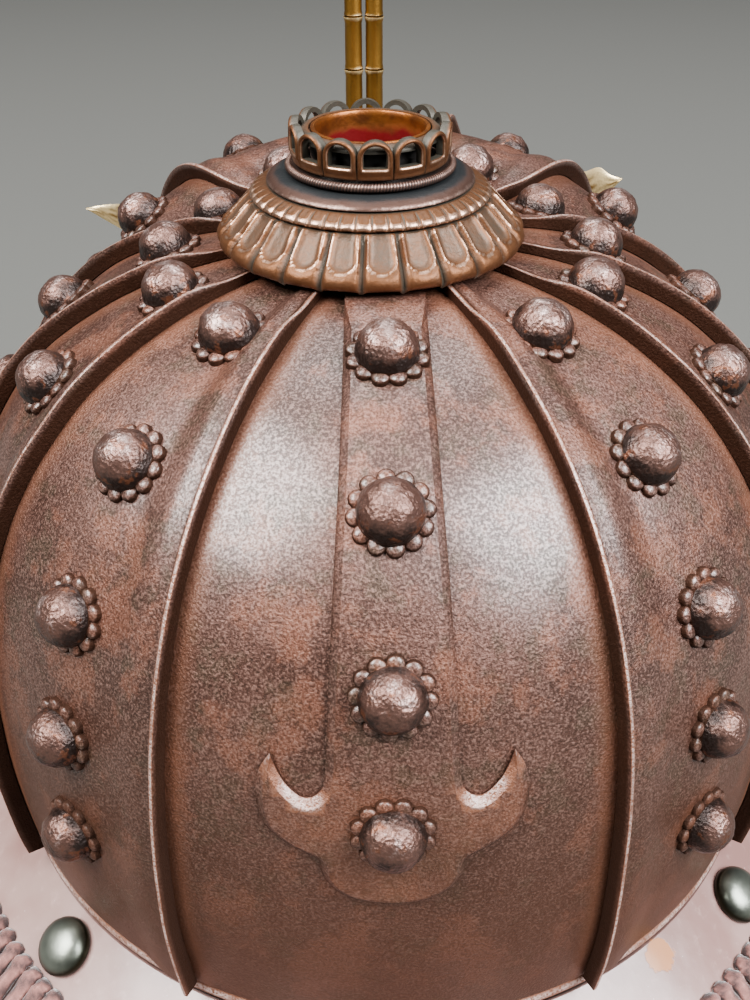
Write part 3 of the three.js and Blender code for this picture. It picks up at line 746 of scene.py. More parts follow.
def ring(columns, section, shape):
    """A ring about the crown's middle. shape gives the radius, height and tone of each point
    of its section, numbered from 0, at a turn angle."""

    def place(column, row):
        turn = 2 * math.pi * (column % columns) / columns
        radius, height, tone = shape(row % section, turn)
        spot = Vector((radius * math.sin(turn), radius * math.cos(turn), height))
        return crown_centre + spot, tone

    return close(mapped_grid(columns + 1, section + 1, place))


def petal_offset(turn, count, phase):
    """How far a turn angle lies from the nearest petal's middle, from -0.5 to 0.5."""
    return ((turn - phase) / (2 * math.pi) * count + 0.5) % 1 - 0.5


# The rosette's top face from its inner edge to its rolled rim: radius and height.
rosette_face = ((26.8, 8.45), (27.4, 7.8), (28, 7.2), (28.6, 6.55), (29.2, 5.9), (29.7, 5.35),
                (30.2, 4.8), (30.7, 4.3), (31.1, 3.9), (31.5, 3.5), (31.9, 3.1), (32.3, 2.7),
                (32.75, 2.2), (33.2, 1.55), (33.55, 0.85), (33.75, 0.15), (33.7, -0.6),
                (33.3, -1.25))
petal_end = 32.9
petal_groove = 0.7
face_slope = 1.5
rosette_fixed_top = ((ring_bore, 8.4), (20.0, 8.5), (25.6, 8.5))
rosette_fixed_under = ((31.5, -1.1), (24.0, 0.0), (ring_bore, 0.0))


def rosette_shape(row, turn):
    if row < len(rosette_fixed_top):
        radius, height = rosette_fixed_top[row]
        return radius, seat_height + height, -0.6
    row -= len(rosette_fixed_top)
    if row >= len(rosette_face):
        radius, height = rosette_fixed_under[row - len(rosette_face)]
        return radius, seat_height + height, -1.0
    radius, height = rosette_face[row]
    pitch = 2 * math.pi * radius / petal_count
    aside = abs(petal_offset(turn, petal_count, petal_phase)) * pitch
    side = pitch / 2 - petal_groove - aside
    past = max(0.0, radius - (petal_end - (pitch / 2 - petal_groove) / face_slope)) * face_slope
    edge = pitch / 2 - petal_groove - math.hypot(aside, past)
    lip = math.exp(-((edge - 0.3) / 0.36) ** 2)
    hollow = smoothstep(edge, 0.4, 1.6)
    groove = 1 - smoothstep(side, -0.6, 0.3)
    rolled = smoothstep(-edge, 0.0, 0.8) * (1 - groove)
    fade = smoothstep(radius, 26.5, 27.4)
    bulge = 0.7 * rolled * (1 - (2 * aside / pitch) ** 2)
    lift = (0.3 * lip - 0.5 * hollow - 1.2 * groove + bulge) * fade
    # The lip is worn and painted bright as a highlight, and the groove is dark with patina.
    tone = 1.15 * lip - 0.2 * hollow + 0.3 * rolled - 0.6 * groove
    return radius + lift * 0.75, seat_height + height + lift * 0.65, tone


section = len(rosette_fixed_top) + len(rosette_face) + len(rosette_fixed_under)
add_piece(ring(rosette_columns, section, rosette_shape), "crown_rosette", copper,
          ["crown_rosette"], sharp_angle=60)

# The beaded ring's face from inner to outer: radius, height, and how deep its flutes are there.
bead_face = ((22.4, 2.75, 0.0), (23.0, 2.7, 0.15), (23.6, 2.55, 0.5), (24.2, 2.35, 0.8),
             (24.8, 2.1, 1.0), (25.3, 1.8, 1.0), (25.8, 1.4, 1.0), (26.2, 0.95, 1.0),
             (26.4, 0.5, 0.8), (26.2, 0.1, 0.4), (ring_bore, 0.0, 0.0), (ring_bore, 2.6, 0.0))


def bead_shape(row, turn):
    radius, height, depth = bead_face[row]
    aside = abs(petal_offset(turn, bead_count, petal_phase)) * 2
    swell = math.sqrt(max(0.0, 1 - aside ** 2.6))
    ended = smoothstep(radius, 25.2, 26.1)
    lift = depth * (1.0 * swell - 0.75) - 0.45 * depth * (1 - ended) * (1 - aside)
    # Tone: each flute's edge and rounded outer end are worn and painted bright as highlights, and the
    # gaps between flutes are dark with patina.
    edge = math.exp(-((aside - 0.78) / 0.14) ** 2)
    tone = -0.8 if not depth else depth * (0.9 * edge + ended * swell - 1.2 * (aside > 0.93)) + 0.1
    return radius + lift * 0.7, bead_bottom + height + lift * 0.6, tone


add_piece(ring(bead_columns, len(bead_face), bead_shape), "crown_beads", copper,
          ["crown_beaded_ring"], sharp_angle=60)

dark_copper = aged_copper("dark_copper", (0.012, 0.0145, 0.016), (0.075, 0.04, 0.03),
                          (0.5, 0.34, 0.28))
# Tone paints the step's rounded outer edge lighter as a highlight, and its top face dark as shade where
# it runs in under the rope.
step_profile = ((ring_bore, 0.0, -0.6), (22.5, 0.0, -0.6), (22.8, 0.25, 0.4), (22.7, 0.6, 0.65),
                (22.2, 1.05, 0.4), (21.4, 1.5, 0.1), (20.6, 1.8, -0.5), (19.8, 2.0, -0.8),
                (19.2, 2.1, -1.0), (18.2, 2.15, -1.0), (ring_bore, 2.15, -1.0))


def step_shape(row, _):
    radius, height, tone = step_profile[row]
    return radius, step_bottom + height, tone


add_piece(ring(144, len(step_profile), step_shape), "crown_step", dark_copper,
          ["crown_domed_step"])


def rope_shape(row, turn):
    if row == 10:
        return ring_bore, rope_bottom + 1.5, -1.0
    if row == 11:
        return ring_bore, rope_bottom, -1.0
    around = math.radians(-110 + 29 * row)
    strand = math.cos(rope_strands * turn + 1.4 * around)
    reach = 0.85 + 0.1 * strand
    # Tone is higher on each strand's crest, and its last term paints the rope lighter on top and darker
    # underneath, as light from above.
    tone = 0.6 * strand + 0.1 + 0.25 * math.sin(around)
    return 17.75 + reach * math.cos(around), rope_bottom + 0.85 + reach * math.sin(around), tone


add_piece(ring(rope_strands * 6, 12, rope_shape), "crown_rope", dark_copper,
          ["crown_rope_ring"], sharp_angle=80)

# The arcade's bay, in millimetres round from the arch's middle and up from its foot.
arch_count = 14
arch_phase = math.radians(-2.8)
arch_outer_radius = 17.6
bay_half = math.pi * arch_outer_radius / arch_count
opening_half = 2.6
opening_rise = 2.5
springing = 4.75
sill = 2.6
side_steps, arc_steps, foot_steps = 4, 20, 8


def arch_outline(half, foot, rise):
    """A closed outline round an arch: up one side, over, down the other and along its foot."""
    points = [(-half, foot + (springing - foot) * i / side_steps) for i in range(side_steps)]
    for i in range(arc_steps + 1):
        turn = math.pi * (1 - i / arc_steps)
        points.append((half * math.cos(turn), springing + rise * math.sin(turn)))
    points += [(half, springing + (foot - springing) * (i + 1) / side_steps) for i in range(side_steps)]
    points += [(half - 2 * half * (i + 1) / foot_steps, foot) for i in range(foot_steps - 1)]
    return points


# The frame's section from the opening's edge to the bay's: share of the way, radius and tone.
# The tone paints the rim round each opening bright, as wear and as a highlight.
frame_section = ((0.0, 15.5, -1.0), (0.0, 16.8, -0.9), (0.07, 17.3, 1.1), (0.25, 17.55, 0.45),
                 (0.5, 17.65, 0.3), (0.75, 17.5, 0.45), (0.92, 17.05, -0.4), (1.0, 16.6, -0.9),
                 (1.0, 15.5, -1.0))


def arch_bay(index):
    inner = arch_outline(opening_half, sill, opening_rise)
    outer = arch_outline(bay_half, 0.0, arcade_height - springing)

    def place(column, row):
        share, radius, tone = frame_section[row % len(frame_section)]
        start, end = inner[column % len(inner)], outer[column % len(outer)]
        aside = start[0] + (end[0] - start[0]) * share
        height = start[1] + (end[1] - start[1]) * share
        flat = smoothstep(height, 1.0, 2.4)
        radius = min(radius, 16.9 + 0.75 * flat) if radius > 16.9 else radius
        turn = arch_phase + (index * 2 * math.pi + aside / bay_half * math.pi) / arch_count
        spot = Vector((radius * math.sin(turn), radius * math.cos(turn), arcade_bottom + height))
        return crown_centre + spot, tone * (0.4 + 0.6 * flat)

    bm = mapped_grid(len(inner) + 1, len(frame_section) + 1, place)
    bmesh.ops.remove_doubles(bm, verts=bm.verts, dist=1e-4)
    middle = arch_phase + index * 2 * math.pi / arch_count
    walls = []
    for face in bm.faces:
        turns = []
        for vert in face.verts:
            spot = vert.co - crown_centre
            turn = math.atan2(spot.x, spot.y) - middle
            turns.append((turn + math.pi) % (2 * math.pi) - math.pi)
        if min(abs(turn) for turn in turns) > math.pi / arch_count - 1e-4:
            walls.append(face)
    bmesh.ops.delete(bm, geom=walls, context="FACES")
    return bm


def collar_shape(row, _):
    """The flat collar that joins the arches' tops to the tube."""
    profile = ((ring_bore, 5.6, -0.5), (ring_bore, 6.7, 0.1), (14.0, 6.8, -0.2), (14.9, 6.4, -0.5),
               (15.7, 5.8, -0.7), (15.7, 5.2, -1.0))
    radius, height, tone = profile[row]
    return radius, arcade_bottom + height, tone


arcade = merge(bmesh.new(), [arch_bay(i) for i in range(arch_count)])
bmesh.ops.remove_doubles(arcade, verts=arcade.verts, dist=2e-3)
bmesh.ops.recalc_face_normals(arcade, faces=arcade.faces)
merge(arcade, [ring(112, 6, collar_shape)])
add_piece(arcade, "crown_arcade", copper, ["crown_arcade"], sharp_angle=60)


def tube_finish():
    """Orange copper at the mouth, and red lacquer further in. The outside, seen through the arcade, is
    painted near black as shade.
    """
    paint = Paint("tube_copper", Coat_Roughness=0.15)
    cloud = paint.grain(4, 3)
    edge = paint.height() + (cloud - 0.5) * 0.004
    deep = 1 - edge.ramp(red_below - 0.0012, red_below + 0.0012)
    color = paint.blend(cloud.ramp(0.35, 0.7), (0.26, 0.085, 0.016), (0.14, 0.045, 0.012))
    color = paint.blend(deep, color, (0.085, 0.003, 0.004))
    color = paint.blend(paint.tone.ramp(-0.2, -0.8), color, (0.012, 0.01, 0.009))
    bump = paint.bump(paint.grain(1.2, 3), 0.1)
    metallic = (1 - deep) * 0.85
    return paint.finish(color, 0.38 - deep * 0.1, bump, metallic=metallic, coat=deep)


tube_profile = ((tube_bore, tube_bottom), (tube_radius, tube_bottom), (tube_radius, tube_top - 0.5),
                (tube_radius - 0.15, tube_top - 0.12), (12.5, tube_top), (12.1, tube_top - 0.1),
                (tube_bore + 0.05, tube_top - 0.45), (tube_bore, tube_top - 1.2))


def tube_shape(row, _):
    radius, height = tube_profile[row]
    # The outer wall's tone paints it near black, as the shade behind the arcade.
    return radius, height, -1.0 if radius == tube_radius else 0.0


add_piece(ring(96, len(tube_profile), tube_shape), "crown_tube", tube_finish(),
          ["crown_tube"])

# Rim band. A thin iron band that grips the plates' lower edges all round. It is russet-lacquered
# as they are, and its top is rolled out to a bead.
rim_half_width = bowl_half_width - rim_tuck
rim_half_length = bowl_half_length - rim_tuck
band_columns = 240
# The tone paints a highlight on the bead's outer face, and shade under it and where the band meets the
# plates.
band_profile = ((-2.2, -0.3, -1.0), (0.9, -0.3, -1.0), (1.55, -0.55, 0.2), (1.95, -1.1, 0.7),
                (2.2, -1.9, 1.0), (2.2, -2.7, 0.8), (1.95, -3.5, 0.3), (1.4, -4.15, -0.4),
                (0.4, -4.4, -1.0), (0.0, -4.5, -1.0), (0.0, -6.0, -1.0), (-2.2, -6.0, -1.0))


def around_rim(reach, height, turn):
    x = (rim_half_width + reach) * math.sin(turn)
    y = (rim_half_length + reach) * math.cos(turn)
    return Vector((x, y, height))


def band_place(column, row):
    reach, height, tone = band_profile[row % len(band_profile)]
    turn = 2 * math.pi * (column % band_columns) / band_columns
    return around_rim(reach, height, turn), tone


band = close(mapped_grid(band_columns + 1, len(band_profile) + 1, band_place))
add_piece(band, "rim_band", russet, ["rim_band"])

# Neck guard. Four curved iron lames under thick pale lacquer, each hung below the last. The
# first lame's ends are folded out and back over it as wings.
lame_thickness = 2.2
lame_width = 30
lame_overlap = 9
first_slope = 35
slope_gain = 7
first_half_span = 126
lower_half_span = 120
fold_radius = 5
fold_angle = 130
fold_length = 34
fold_steps = 14
wing_steps = 6
lame_steps = 96
first_lame_steps = 100
seam_height = -(4.4 + clearance)


def pale_lacquer():
    """Pinkish-grey lacquer, cloudy and glossy, chipped to a tan ground in a few places."""
    paint = Paint("pale_lacquer", Coat_Roughness=0.12, Coat_Weight=0.4)
    cloud = paint.grain(22, 3)
    fine = paint.grain(3, 4, roughness=0.65)
    color = paint.blend(cloud.ramp(0.35, 0.7), (0.22, 0.118, 0.102), (0.31, 0.2, 0.178))
    color = paint.blend(fine.ramp(0.55, 0.75) * 0.4, color, (0.42, 0.28, 0.25))
    color = paint.blend(paint.grain(0.9, 2).ramp(0.74, 0.8) * 0.5, color, (0.8, 0.75, 0.72))
    chips = 0.0
    for spot, reach in (((-0.0635, 0.0895, -0.0075), 0.0042), ((0.0795, 0.0775, -0.0085), 0.0018),
                        ((-0.098, 0.0635, -0.009), 0.0022), ((0.062, -0.102, -0.012), 0.004)):
        away = paint.node("ShaderNodeVectorMath", {"operation": "DISTANCE"},
                          {0: paint.place, 1: spot}, out="Value")
        chips = (1 - (away + (fine - 0.5) * 0.004).ramp(reach * 0.85, reach)) + chips
    color = paint.blend(chips, color, (0.42, 0.17, 0.06))
    # Painted shade where the tone is below zero.
    color = paint.blend(paint.tone.ramp(-0.2, -1.0) * 0.7, color, (0.12, 0.085, 0.08))
    bump = paint.bump(paint.grain(9, 2), 0.25)
    bump = paint.bump(fine + chips * -1.5, 0.05, bump)
    return paint.finish(color, 0.3 + fine * 0.14 + chips * 0.25, bump)


lacquer = pale_lacquer()
lames = []
lame_top = Vector((lame_thickness * math.sin(math.radians(first_slope)) + clearance, seam_height))
for i in range(4):
    slope = math.radians(first_slope + slope_gain * i)
    along = Vector((math.cos(slope), -math.sin(slope)))
    out = Vector((math.sin(slope), math.cos(slope)))
    lames.append((lame_top, along, out))
    lame_top = lame_top + along * (lame_width - lame_overlap) - out * (lame_thickness + 3 * clearance)


def on_lame(lame, distance, height):
    top, along, out = lame
    return top + along * distance + out * height


# A lame's section: distance down it, height over its outer face, and tone.
# The tone paints shade along the lame's top edge, which lies in under the lame or band above.
lame_section = [(0.0, -1.7, -1.0), (0.1, -0.5, -0.6), (0.5, 0.0, 0.0)]
lame_section += [(distance, 0.0, 0.0) for distance in spread(0.5, lame_width - 1.2, 9)]
lame_section += [(lame_width - 1.2, 0.0, 0.0), (lame_width - 0.5, -0.12, 0.0), (lame_width, -0.6, 0.0),
                 (lame_width, -1.6, 0.0), (lame_width - 0.5, -2.1, 0.0), (lame_width - 1.2, -2.2, 0.0)]
lame_section += [(distance, -2.2, 0.0) for distance in spread(lame_width - 1.2, 0.5, 5)]
lame_section += [(0.5, -2.2, -0.6)]


def lame_turns(half_span, steps):
    return [math.radians(half_span * (2 * i / steps - 1)) for i in range(steps + 1)]


def swept_lame(lame, half_span):
    turns = lame_turns(half_span, lame_steps)

    def place(column, row):
        distance, height, tone = lame_section[row % len(lame_section)]
        spot = on_lame(lame, distance, height)
        return around_rim(spot.x, spot.y, turns[column]), tone

    return close(mapped_grid(len(turns), len(lame_section) + 1, place), ends=True)


def fold_frames(lame, side):
    """Where each cross section of a folded end stands, with its down and outward directions."""
    turn = math.radians(first_half_span) * side
    forward = (around_rim(0, 0, turn + side * 1e-3) - around_rim(0, 0, turn)).normalized()
    down = (around_rim(*lame[1], turn) - around_rim(0, 0, turn)).normalized()
    out = (forward.cross(down) * side).normalized()
    middle = on_lame(lame, 0, -lame_thickness / 2)
    corner = around_rim(middle.x, middle.y, turn)
    bend = fold_radius + lame_thickness / 2
    frames = []
    for angle in [math.radians(fold_angle * i / fold_steps) for i in range(fold_steps + 1)]:
        spot = corner + out * bend * (1 - math.cos(angle)) + forward * bend * math.sin(angle)
        face = out * math.cos(angle) - forward * math.sin(angle)
        frames.append((spot, down, face))
    ahead = forward * math.cos(angle) + out * math.sin(angle)
    for i in range(1, wing_steps + 1):
        frames.append((spot + ahead * fold_length * i / wing_steps, down, face))
    return frames


def first_lame():
    lame = lames[0]
    turns = lame_turns(first_half_span, first_lame_steps)[1:-1]
    low_fold = fold_frames(lame, -1)[::-1]
    high_fold = fold_frames(lame, 1)

    def place(column, row):
        distance, height, tone = lame_section[row % len(lame_section)]
        if column < len(low_fold):
            spot, down, face = low_fold[column]
        elif column >= len(low_fold) + len(turns):
            spot, down, face = high_fold[column - len(low_fold) - len(turns)]
        else:
            reach = on_lame(lame, distance, height)
            return around_rim(reach.x, reach.y, turns[column - len(low_fold)]), tone
        return spot + down * distance + face * (height + lame_thickness / 2), tone

    columns = len(low_fold) + len(turns) + len(high_fold)
    return close(mapped_grid(columns, len(lame_section) + 1, place), ends=True)


add_piece(first_lame(), "neck_lame_1", lacquer, ["neck_lame_1"])
for i in range(1, 4):
    name = f"neck_lame_{i + 1}"
    add_piece(swept_lame(lames[i], lower_half_span), name, lacquer, [name])

# Lacing. Rose silk cords stand side by side in three rows. Each comes out of a hole in a lame,
# runs over its lower edge and goes into the next lame.
cord_start = 18.6
cord_landing = 15
cord_half_span = 117
cord_width = 4.6
cord_thickness = 2.5
cord_gap = 0.3
cord_sides = 8


def rose_cord():
    """Faded rose silk, painted pale on its strands and top as a highlight, and dark red between its
    strands and at the holes as shade.
    """
    paint = Paint("rose_cord", Sheen_Weight=0.5, Sheen_Roughness=0.4)
    hairs = paint.grain(0.45, 3, roughness=0.65)
    cloud = paint.grain(9, 3)
    tint = paint.tone + (hairs - 0.5) * 0.9
    color = paint.blend(tint.ramp(-0.8, 0.9), (0.026, 0.009, 0.008), (0.25, 0.1, 0.082))
    color = paint.blend(tint.ramp(0.5, 1.3) * 0.7, color, (0.46, 0.26, 0.22))
    color = paint.blend(cloud.ramp(0.5, 0.75) * 0.4, color, (0.16, 0.075, 0.07))
    return paint.finish(color, 0.75, paint.bump(hairs, 0.2))


rose = rose_cord()


def cord_line(upper, lower):
    """The cord's middle line down the two lames, as reach and height."""
    lift = clearance + cord_thickness / 2
    points = [on_lame(upper, cord_start - 0.6, -0.6), on_lame(upper, cord_start + 0.6, lift * 0.8),
              on_lame(upper, cord_start + 3, lift), on_lame(upper, lame_width - 1, lift),
              on_lame(upper, lame_width + 1.6, lift * 0.3),
              on_lame(lower, lame_overlap + 1.9, lift * 1.15),
              on_lame(lower, cord_landing - 1.6, lift), on_lame(lower, cord_landing, lift * 0.2)]
    return smooth_path(points, 3)


def cord(line, turn, index):
    """One braided cord at a turn angle round the rim."""
    spread_x = Vector((math.cos(turn), -math.sin(turn), 0))
    wobble = 0.5 * noise.noise(Vector((index * 1.7, 0.3, 0)))

    def place(column, row):
        spot = line[row]
        ahead = line[min(row + 1, len(line) - 1)] - line[max(row - 1, 0)]
        ahead.normalize()
        centre = around_rim(spot.x, spot.y, turn)
        lift = around_rim(spot.x - ahead.y, spot.y + ahead.x, turn) - centre
        around = 2 * math.pi * (column % cord_sides) / cord_sides
        strand = math.cos(2 * around + 1.35 * row + index)
        swell = 1 + 0.16 * strand
        taper = 0.35 if row in (0, len(line) - 1) else 1.0
        aside = cord_width / 2 * math.cos(around) * swell * taper
        above = cord_thickness / 2 * math.sin(around) * swell * taper
        # The tone paints the cord lighter on top and on each strand as a highlight, and darker
        # underneath, between strands and where it goes into a hole, as shade.
        tone = strand * 0.7 + 0.45 * math.sin(around) - 0.25
        tone -= 1.3 * (1 - smoothstep(min(row, len(line) - 1 - row), 0, 3))
        return centre + spread_x * (aside + wobble) + lift * above, tone

    return close(mapped_grid(cord_sides + 1, len(line), place), ends=True)


for i in range(3):
    line = cord_line(lames[i], lames[i + 1])
    girth = math.radians(2 * cord_half_span) * (rim_half_width + line[len(line) // 2].x)
    count = int(girth / (cord_width + cord_gap))
    turns = lame_turns(cord_half_span, count)
    cords = [cord(line, turn, k) for k, turn in enumerate(turns)]
    add_piece(merge(bmesh.new(), cords), f"lacing_{i + 1}", rose, [f"lacing_{i + 1}"],
              sharp_angle=80)

# Neck guard rivets. Two smooth domes of silvered iron, riveted through the first lame near the
# rim. They have tarnished to a green-grey.
lame_rivet_profile = ((6.9, 0.0), (7.0, 0.5), (6.95, 1.1), (6.65, 1.9), (6.1, 2.65), (5.3, 3.35),
                      (4.2, 3.95), (2.9, 4.35), (1.5, 4.55), (0.0, 4.6))
lame_rivet_distance = 9.2
lame_rivet_gap = 0.45
lame_rivet_columns = 48
lame_rivets = ((45, "left"), (-53, "right"))


def silvered():
    """Tarnished green-grey silvering, painted darker and greener towards the dome's foot as shade, and
    lighter towards its top as a highlight.
    """
    paint = Paint("silvered", Metallic=0.9)
    cloud = paint.grain(3, 3)
    tint = paint.tone + (cloud - 0.5) * 0.5
    color = paint.blend(tint.ramp(-0.5, 0.9), (0.016, 0.018, 0.01), (0.2, 0.22, 0.185))
    return paint.finish(color, 0.24 + cloud * 0.15, paint.bump(paint.grain(1.5, 3), 0.04))


silver = silvered()
for turn_degrees, side_name in lame_rivets:
    turn = math.radians(turn_degrees)
    foot = on_lame(lames[0], lame_rivet_distance, lame_rivet_gap)
    step = on_lame(lames[0], lame_rivet_distance, lame_rivet_gap + 1)
    foot, step = around_rim(*foot, turn), around_rim(*step, turn)
    stand = (step - foot).normalized().to_track_quat("Z", "Y").to_matrix()

    def dome_place(column, row):
        around = 2 * math.pi * (column % lame_rivet_columns) / lame_rivet_columns
        radius, height = lame_rivet_profile[row]
        spot = Vector((radius * math.cos(around), radius * math.sin(around), height))
        # The tone, from the height alone, paints shade at the foot and a highlight on the top.
        return foot + stand @ spot, height / 2.3 - 1

    dome = mapped_grid(lame_rivet_columns + 1, len(lame_rivet_profile), dome_place)
    close(dome, ends=True)
    add_piece(dome, f"lame_rivet_{side_name}", silver, [f"lame_rivet_{side_name}"])

# Peak. A shallow iron visor at the front, russet-lacquered. It stands out from under the rim
# band, and its edge is rolled over for stiffness.
peak_reach = 40
peak_end_reach = 8
peak_half_angle = math.radians(42)
peak_slope = math.tan(math.radians(18))
peak_thickness = 2.2
peak_fullness = 0.7
peak_columns = 72
peak_rows = 24


def peak_place(column, row):
    share = column / peak_columns
    turn = math.pi + peak_half_angle * (2 * share - 1)
    full = math.sin(math.pi * share) ** peak_fullness if 0 < share < 1 else 0.0
    reach = peak_end_reach + (peak_reach - peak_end_reach) * full
    # The section's way out, its height over the face, and tone.
    # The tone paints shade where the peak goes in under the band, and a highlight on its rolled edge.
    section = [(clearance, 0.0, -0.8)]
    section += [(clearance + (reach - 1.6) * i / 8, 0.0, 0.0) for i in range(1, 9)]
    section += [(reach - 0.9, 0.0, 0.6), (reach - 0.3, -0.3, 1.0), (reach, -1.0, 1.0),
                (reach - 0.2, -1.8, 0.5), (reach - 0.8, -2.2, 0.0)]
    section += [(clearance + (reach - 1.6) * i / 8, -peak_thickness, -0.2) for i in range(8, 0, -1)]
    section += [(clearance, -peak_thickness, -0.8)]
    out, height, tone = section[row % len(section)]
    return around_rim(out, seam_height - out * peak_slope + height, turn), tone


peak = close(mapped_grid(peak_columns + 1, peak_rows + 1, peak_place), ends=True)
add_piece(peak, "peak", russet, ["peak"])

# Crest. Two gilt copper stems in the shape of bamboo, with a leaf at each side. The stems stand
# in the well of a gilt holder, which is fixed to the front plate.
crest_offset = 3
crest_y = -(bowl_half_length + 16)
stem_radius = 2.7
node_swell = 0.4
stem_spacing = stem_radius + node_swell + clearance / 2
stem_bottom = 28
stem_top = 228
stem_nodes = (66, 100, 144.5, 160.5, 194)
stem_columns = 32
# A node's ring on a stem: height over its middle, how much wider it is than the stem, and tone.
stem_ring = ((-6, 0.0, 0.2), (-2, -0.05, 0.1), (-0.7, 0.25, 0.8), (-0.15, node_swell, 1.2),
             (0.15, -0.25, -1.2), (0.5, 0.2, 0.8), (1.5, 0.0, 0.3))
holder_bottom = 24
holder_top = 50
holder_front_width = 14.4
holder_back_width = 18
holder_depth = 21
holder_lip = 1.2
holder_round = 1.0
socket_half = (stem_radius * 2 + node_swell + 1.5 * clearance, stem_radius + clearance)
leaf_thickness = 1.2
leaf_across = 8
leaf_rib = 0.25
leaf_vein = 0.06


def gilding():
    """Old gilding: brown in its hollows, and pale gold where it is rubbed and where a highlight is
    painted, as on the leaves.
    """
    paint = Paint("gilding", Metallic=0.95)
    cloud = paint.grain(7, 4, stretch=(1, 1, 0.35))
    fine = paint.grain(0.7, 3)
    wear_and_light = paint.tone + (cloud - 0.5) * 1.2 + (fine - 0.5) * 0.4
    color = paint.blend(wear_and_light.ramp(-0.8, 0.3), (0.05, 0.024, 0.006), (0.26, 0.13, 0.022))
    color = paint.blend(wear_and_light.ramp(0.55, 1.3), color, (1.0, 0.78, 0.4))
    return paint.finish(color, 0.28 + cloud * 0.2, paint.bump(fine + cloud, 0.08))


gilt = gilding()


def stem_rows():
    """Heights, radii and tones up a stem, ringed at each node."""
    rows = [(stem_bottom, 0.0, -0.5), (stem_bottom, stem_radius, -0.5)]
    for height in stem_nodes:
        for above, wider, tone in stem_ring:
            rows.append((height + above, stem_radius + wider, tone))
    rows += [(stem_top - 0.3, stem_radius, 0.5), (stem_top, stem_radius - 0.3, 0.8)]
    return rows + [(stem_top, 0.0, 0.5)]


rows = stem_rows()
for side, side_name in ((1, "left"), (-1, "right")):
    centre = Vector((crest_offset + side * stem_spacing, crest_y, 0))

    def stem_place(column, row):
        around = 2 * math.pi * (column % stem_columns) / stem_columns
        height, radius, tone = rows[row]
        spot = Vector((radius * math.cos(around), radius * math.sin(around), height))
        return centre + spot, tone

    stem = close(mapped_grid(stem_columns + 1, len(rows), stem_place))
    add_piece(stem, f"crest_stem_{side_name}", gilt, [f"crest_stem_{side_name}"])

# Each leaf's upper and lower edge, in pairs along X with their heights.
left_leaf = ((6.2, 80.6, 78), (30, 90.6, 86), (52, 94, 88), (66, 98.5, 86.5), (80, 100.6, 89),
             (88, 101, 93.5), (97, 99.8, 99.4))
right_leaf = ((-0.2, 86.6, 84), (-24, 94.6, 91), (-46, 101, 94), (-55, 108, 95), (-60, 109.6, 95.5),
              (-66, 112.8, 96.5), (-70, 110.8, 98), (-75, 112.2, 100.5), (-79, 109.6, 103.5),
              (-83, 108.5, 108))
for outline, side_name in ((left_leaf, "left"), (right_leaf, "right")):
    edge = smooth_path(outline, 5)

    def leaf_place(column, row):
        x, high, low = edge[column]
        wrap = row % (2 * leaf_across)
        share = wrap / leaf_across if wrap <= leaf_across else 2 - wrap / leaf_across
        face = 1 if 0 < wrap < leaf_across else (-1 if wrap > leaf_across else 0)
        rib = leaf_rib * math.exp(-((share - 0.5) / 0.08) ** 2)
        vein = leaf_vein * math.cos(share * 24 + x * 0.9)
        depth = face * (leaf_thickness / 2 * (0.55 + 0.35 * math.sin(math.pi * share)) + rib + vein)
        spot = Vector((x, crest_y + depth, low + (high - low) * share))
        # The tone paints the leaves pale gold all over as a highlight, brighter at their edges.
        return spot, 1.1 + 3 * vein - rib + (0.4 if face == 0 else 0.0)

    leaf = close(mapped_grid(len(edge), 2 * leaf_across + 1, leaf_place), ends=True)
    name = f"crest_leaf_{side_name}"
    add_piece(leaf, name, gilt, [name], sharp_angle=60)

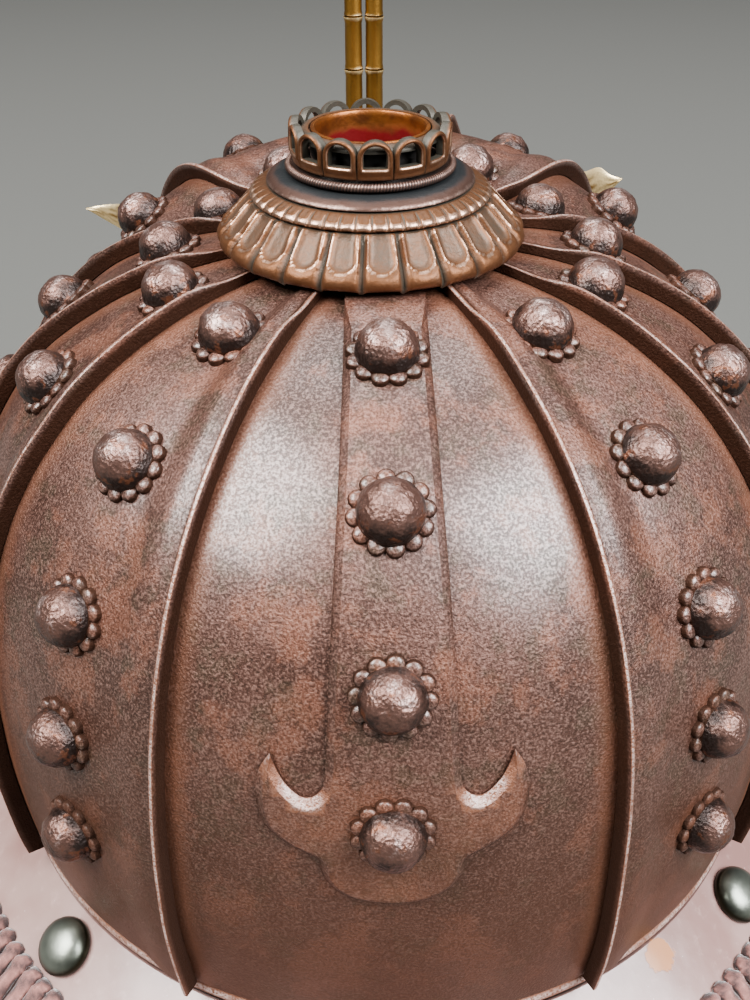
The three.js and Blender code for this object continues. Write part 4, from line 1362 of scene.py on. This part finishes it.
holder = bmesh.new()
holder_tone = holder.verts.layers.float.new("tone")
bmesh.ops.create_cube(holder, size=1)
holder_back = -(bowl_half_length + plate_thickness + clearance)
for vert in holder.verts:
    front = vert.co.y < 0
    vert.co.x = crest_offset + vert.co.x * (holder_front_width if front else holder_back_width)
    vert.co.y = holder_back - (holder_depth if front else 0)
    vert.co.z = holder_top if vert.co.z > 0 else holder_bottom
bmesh.ops.bevel(holder, geom=holder.edges[:], offset=holder_round, segments=3, profile=0.5,
                affect="EDGES", material=-1)
mouth = max(holder.faces, key=lambda face: face.calc_center_median().z * (face.normal.z > 0.9))
bmesh.ops.inset_region(holder, faces=[mouth], thickness=holder_lip)
mouth_y = mouth.calc_center_median().y
for vert in mouth.verts:
    vert.co.x = crest_offset + math.copysign(socket_half[0], vert.co.x - crest_offset)
    vert.co.y = crest_y + math.copysign(socket_half[1], vert.co.y - mouth_y)
well = bmesh.ops.extrude_face_region(holder, geom=[mouth])["geom"]
well_floor = [item for item in well if isinstance(item, bmesh.types.BMVert)]
bmesh.ops.delete(holder, geom=[mouth], context="FACES_ONLY")
bmesh.ops.translate(holder, verts=well_floor, vec=(0, 0, stem_bottom - clearance - holder_top))
for vert in holder.verts:
    vert[holder_tone] = 0.2
close(holder)
add_piece(holder, "crest_holder", gilt, ["crest_holder"])

# Stage. A pale floor and soft light from above, from the left and from the right.
floor_half = 6
sky_strength = 0.08
light_aim = Vector((0, 0, 0.07))
floor_data = bmesh.new()
bmesh.ops.create_grid(floor_data, x_segments=1, y_segments=1, size=floor_half)
floor_mesh = bpy.data.meshes.new("floor")
floor_data.to_mesh(floor_mesh)
floor_data.free()
floor = bpy.data.objects.new("floor", floor_mesh)
bpy.context.collection.objects.link(floor)
floor.location.z = cad_box[0][2]
floor_paint = Paint("floor", Roughness=0.8)
floor_paint.feed(floor_paint.shader.inputs["Base Color"], (0.072, 0.073, 0.067))
floor_mesh.materials.append(floor_paint.material)

world = bpy.data.worlds.new("studio")
world.use_nodes = True
sky = world.node_tree.nodes["Background"]
sky.inputs["Color"].default_value = (0.62, 0.64, 0.66, 1)
sky.inputs["Strength"].default_value = sky_strength
bpy.context.scene.world = world


def soft_light(name, place, size, power, color):
    data = bpy.data.lights.new(name, "AREA")
    data.shape = "RECTANGLE"
    data.size, data.size_y = size
    data.energy = power
    data.color = color
    light = bpy.data.objects.new(name, data)
    light.location = place
    light.rotation_euler = (light_aim - light.location).to_track_quat("-Z", "Y").to_euler()
    bpy.context.collection.objects.link(light)


soft_light("window_left", (1.2, 0.6, 1.75), (1.3, 1.3), 165, (1.0, 0.98, 0.96))
soft_light("window_right", (-1.25, 0.9, 1.5), (1.4, 1.4), 184, (0.98, 0.98, 1.0))
soft_light("overhead", (0.0, -0.9, 2.2), (1.6, 1.0), 40, (1.0, 1.0, 1.0))
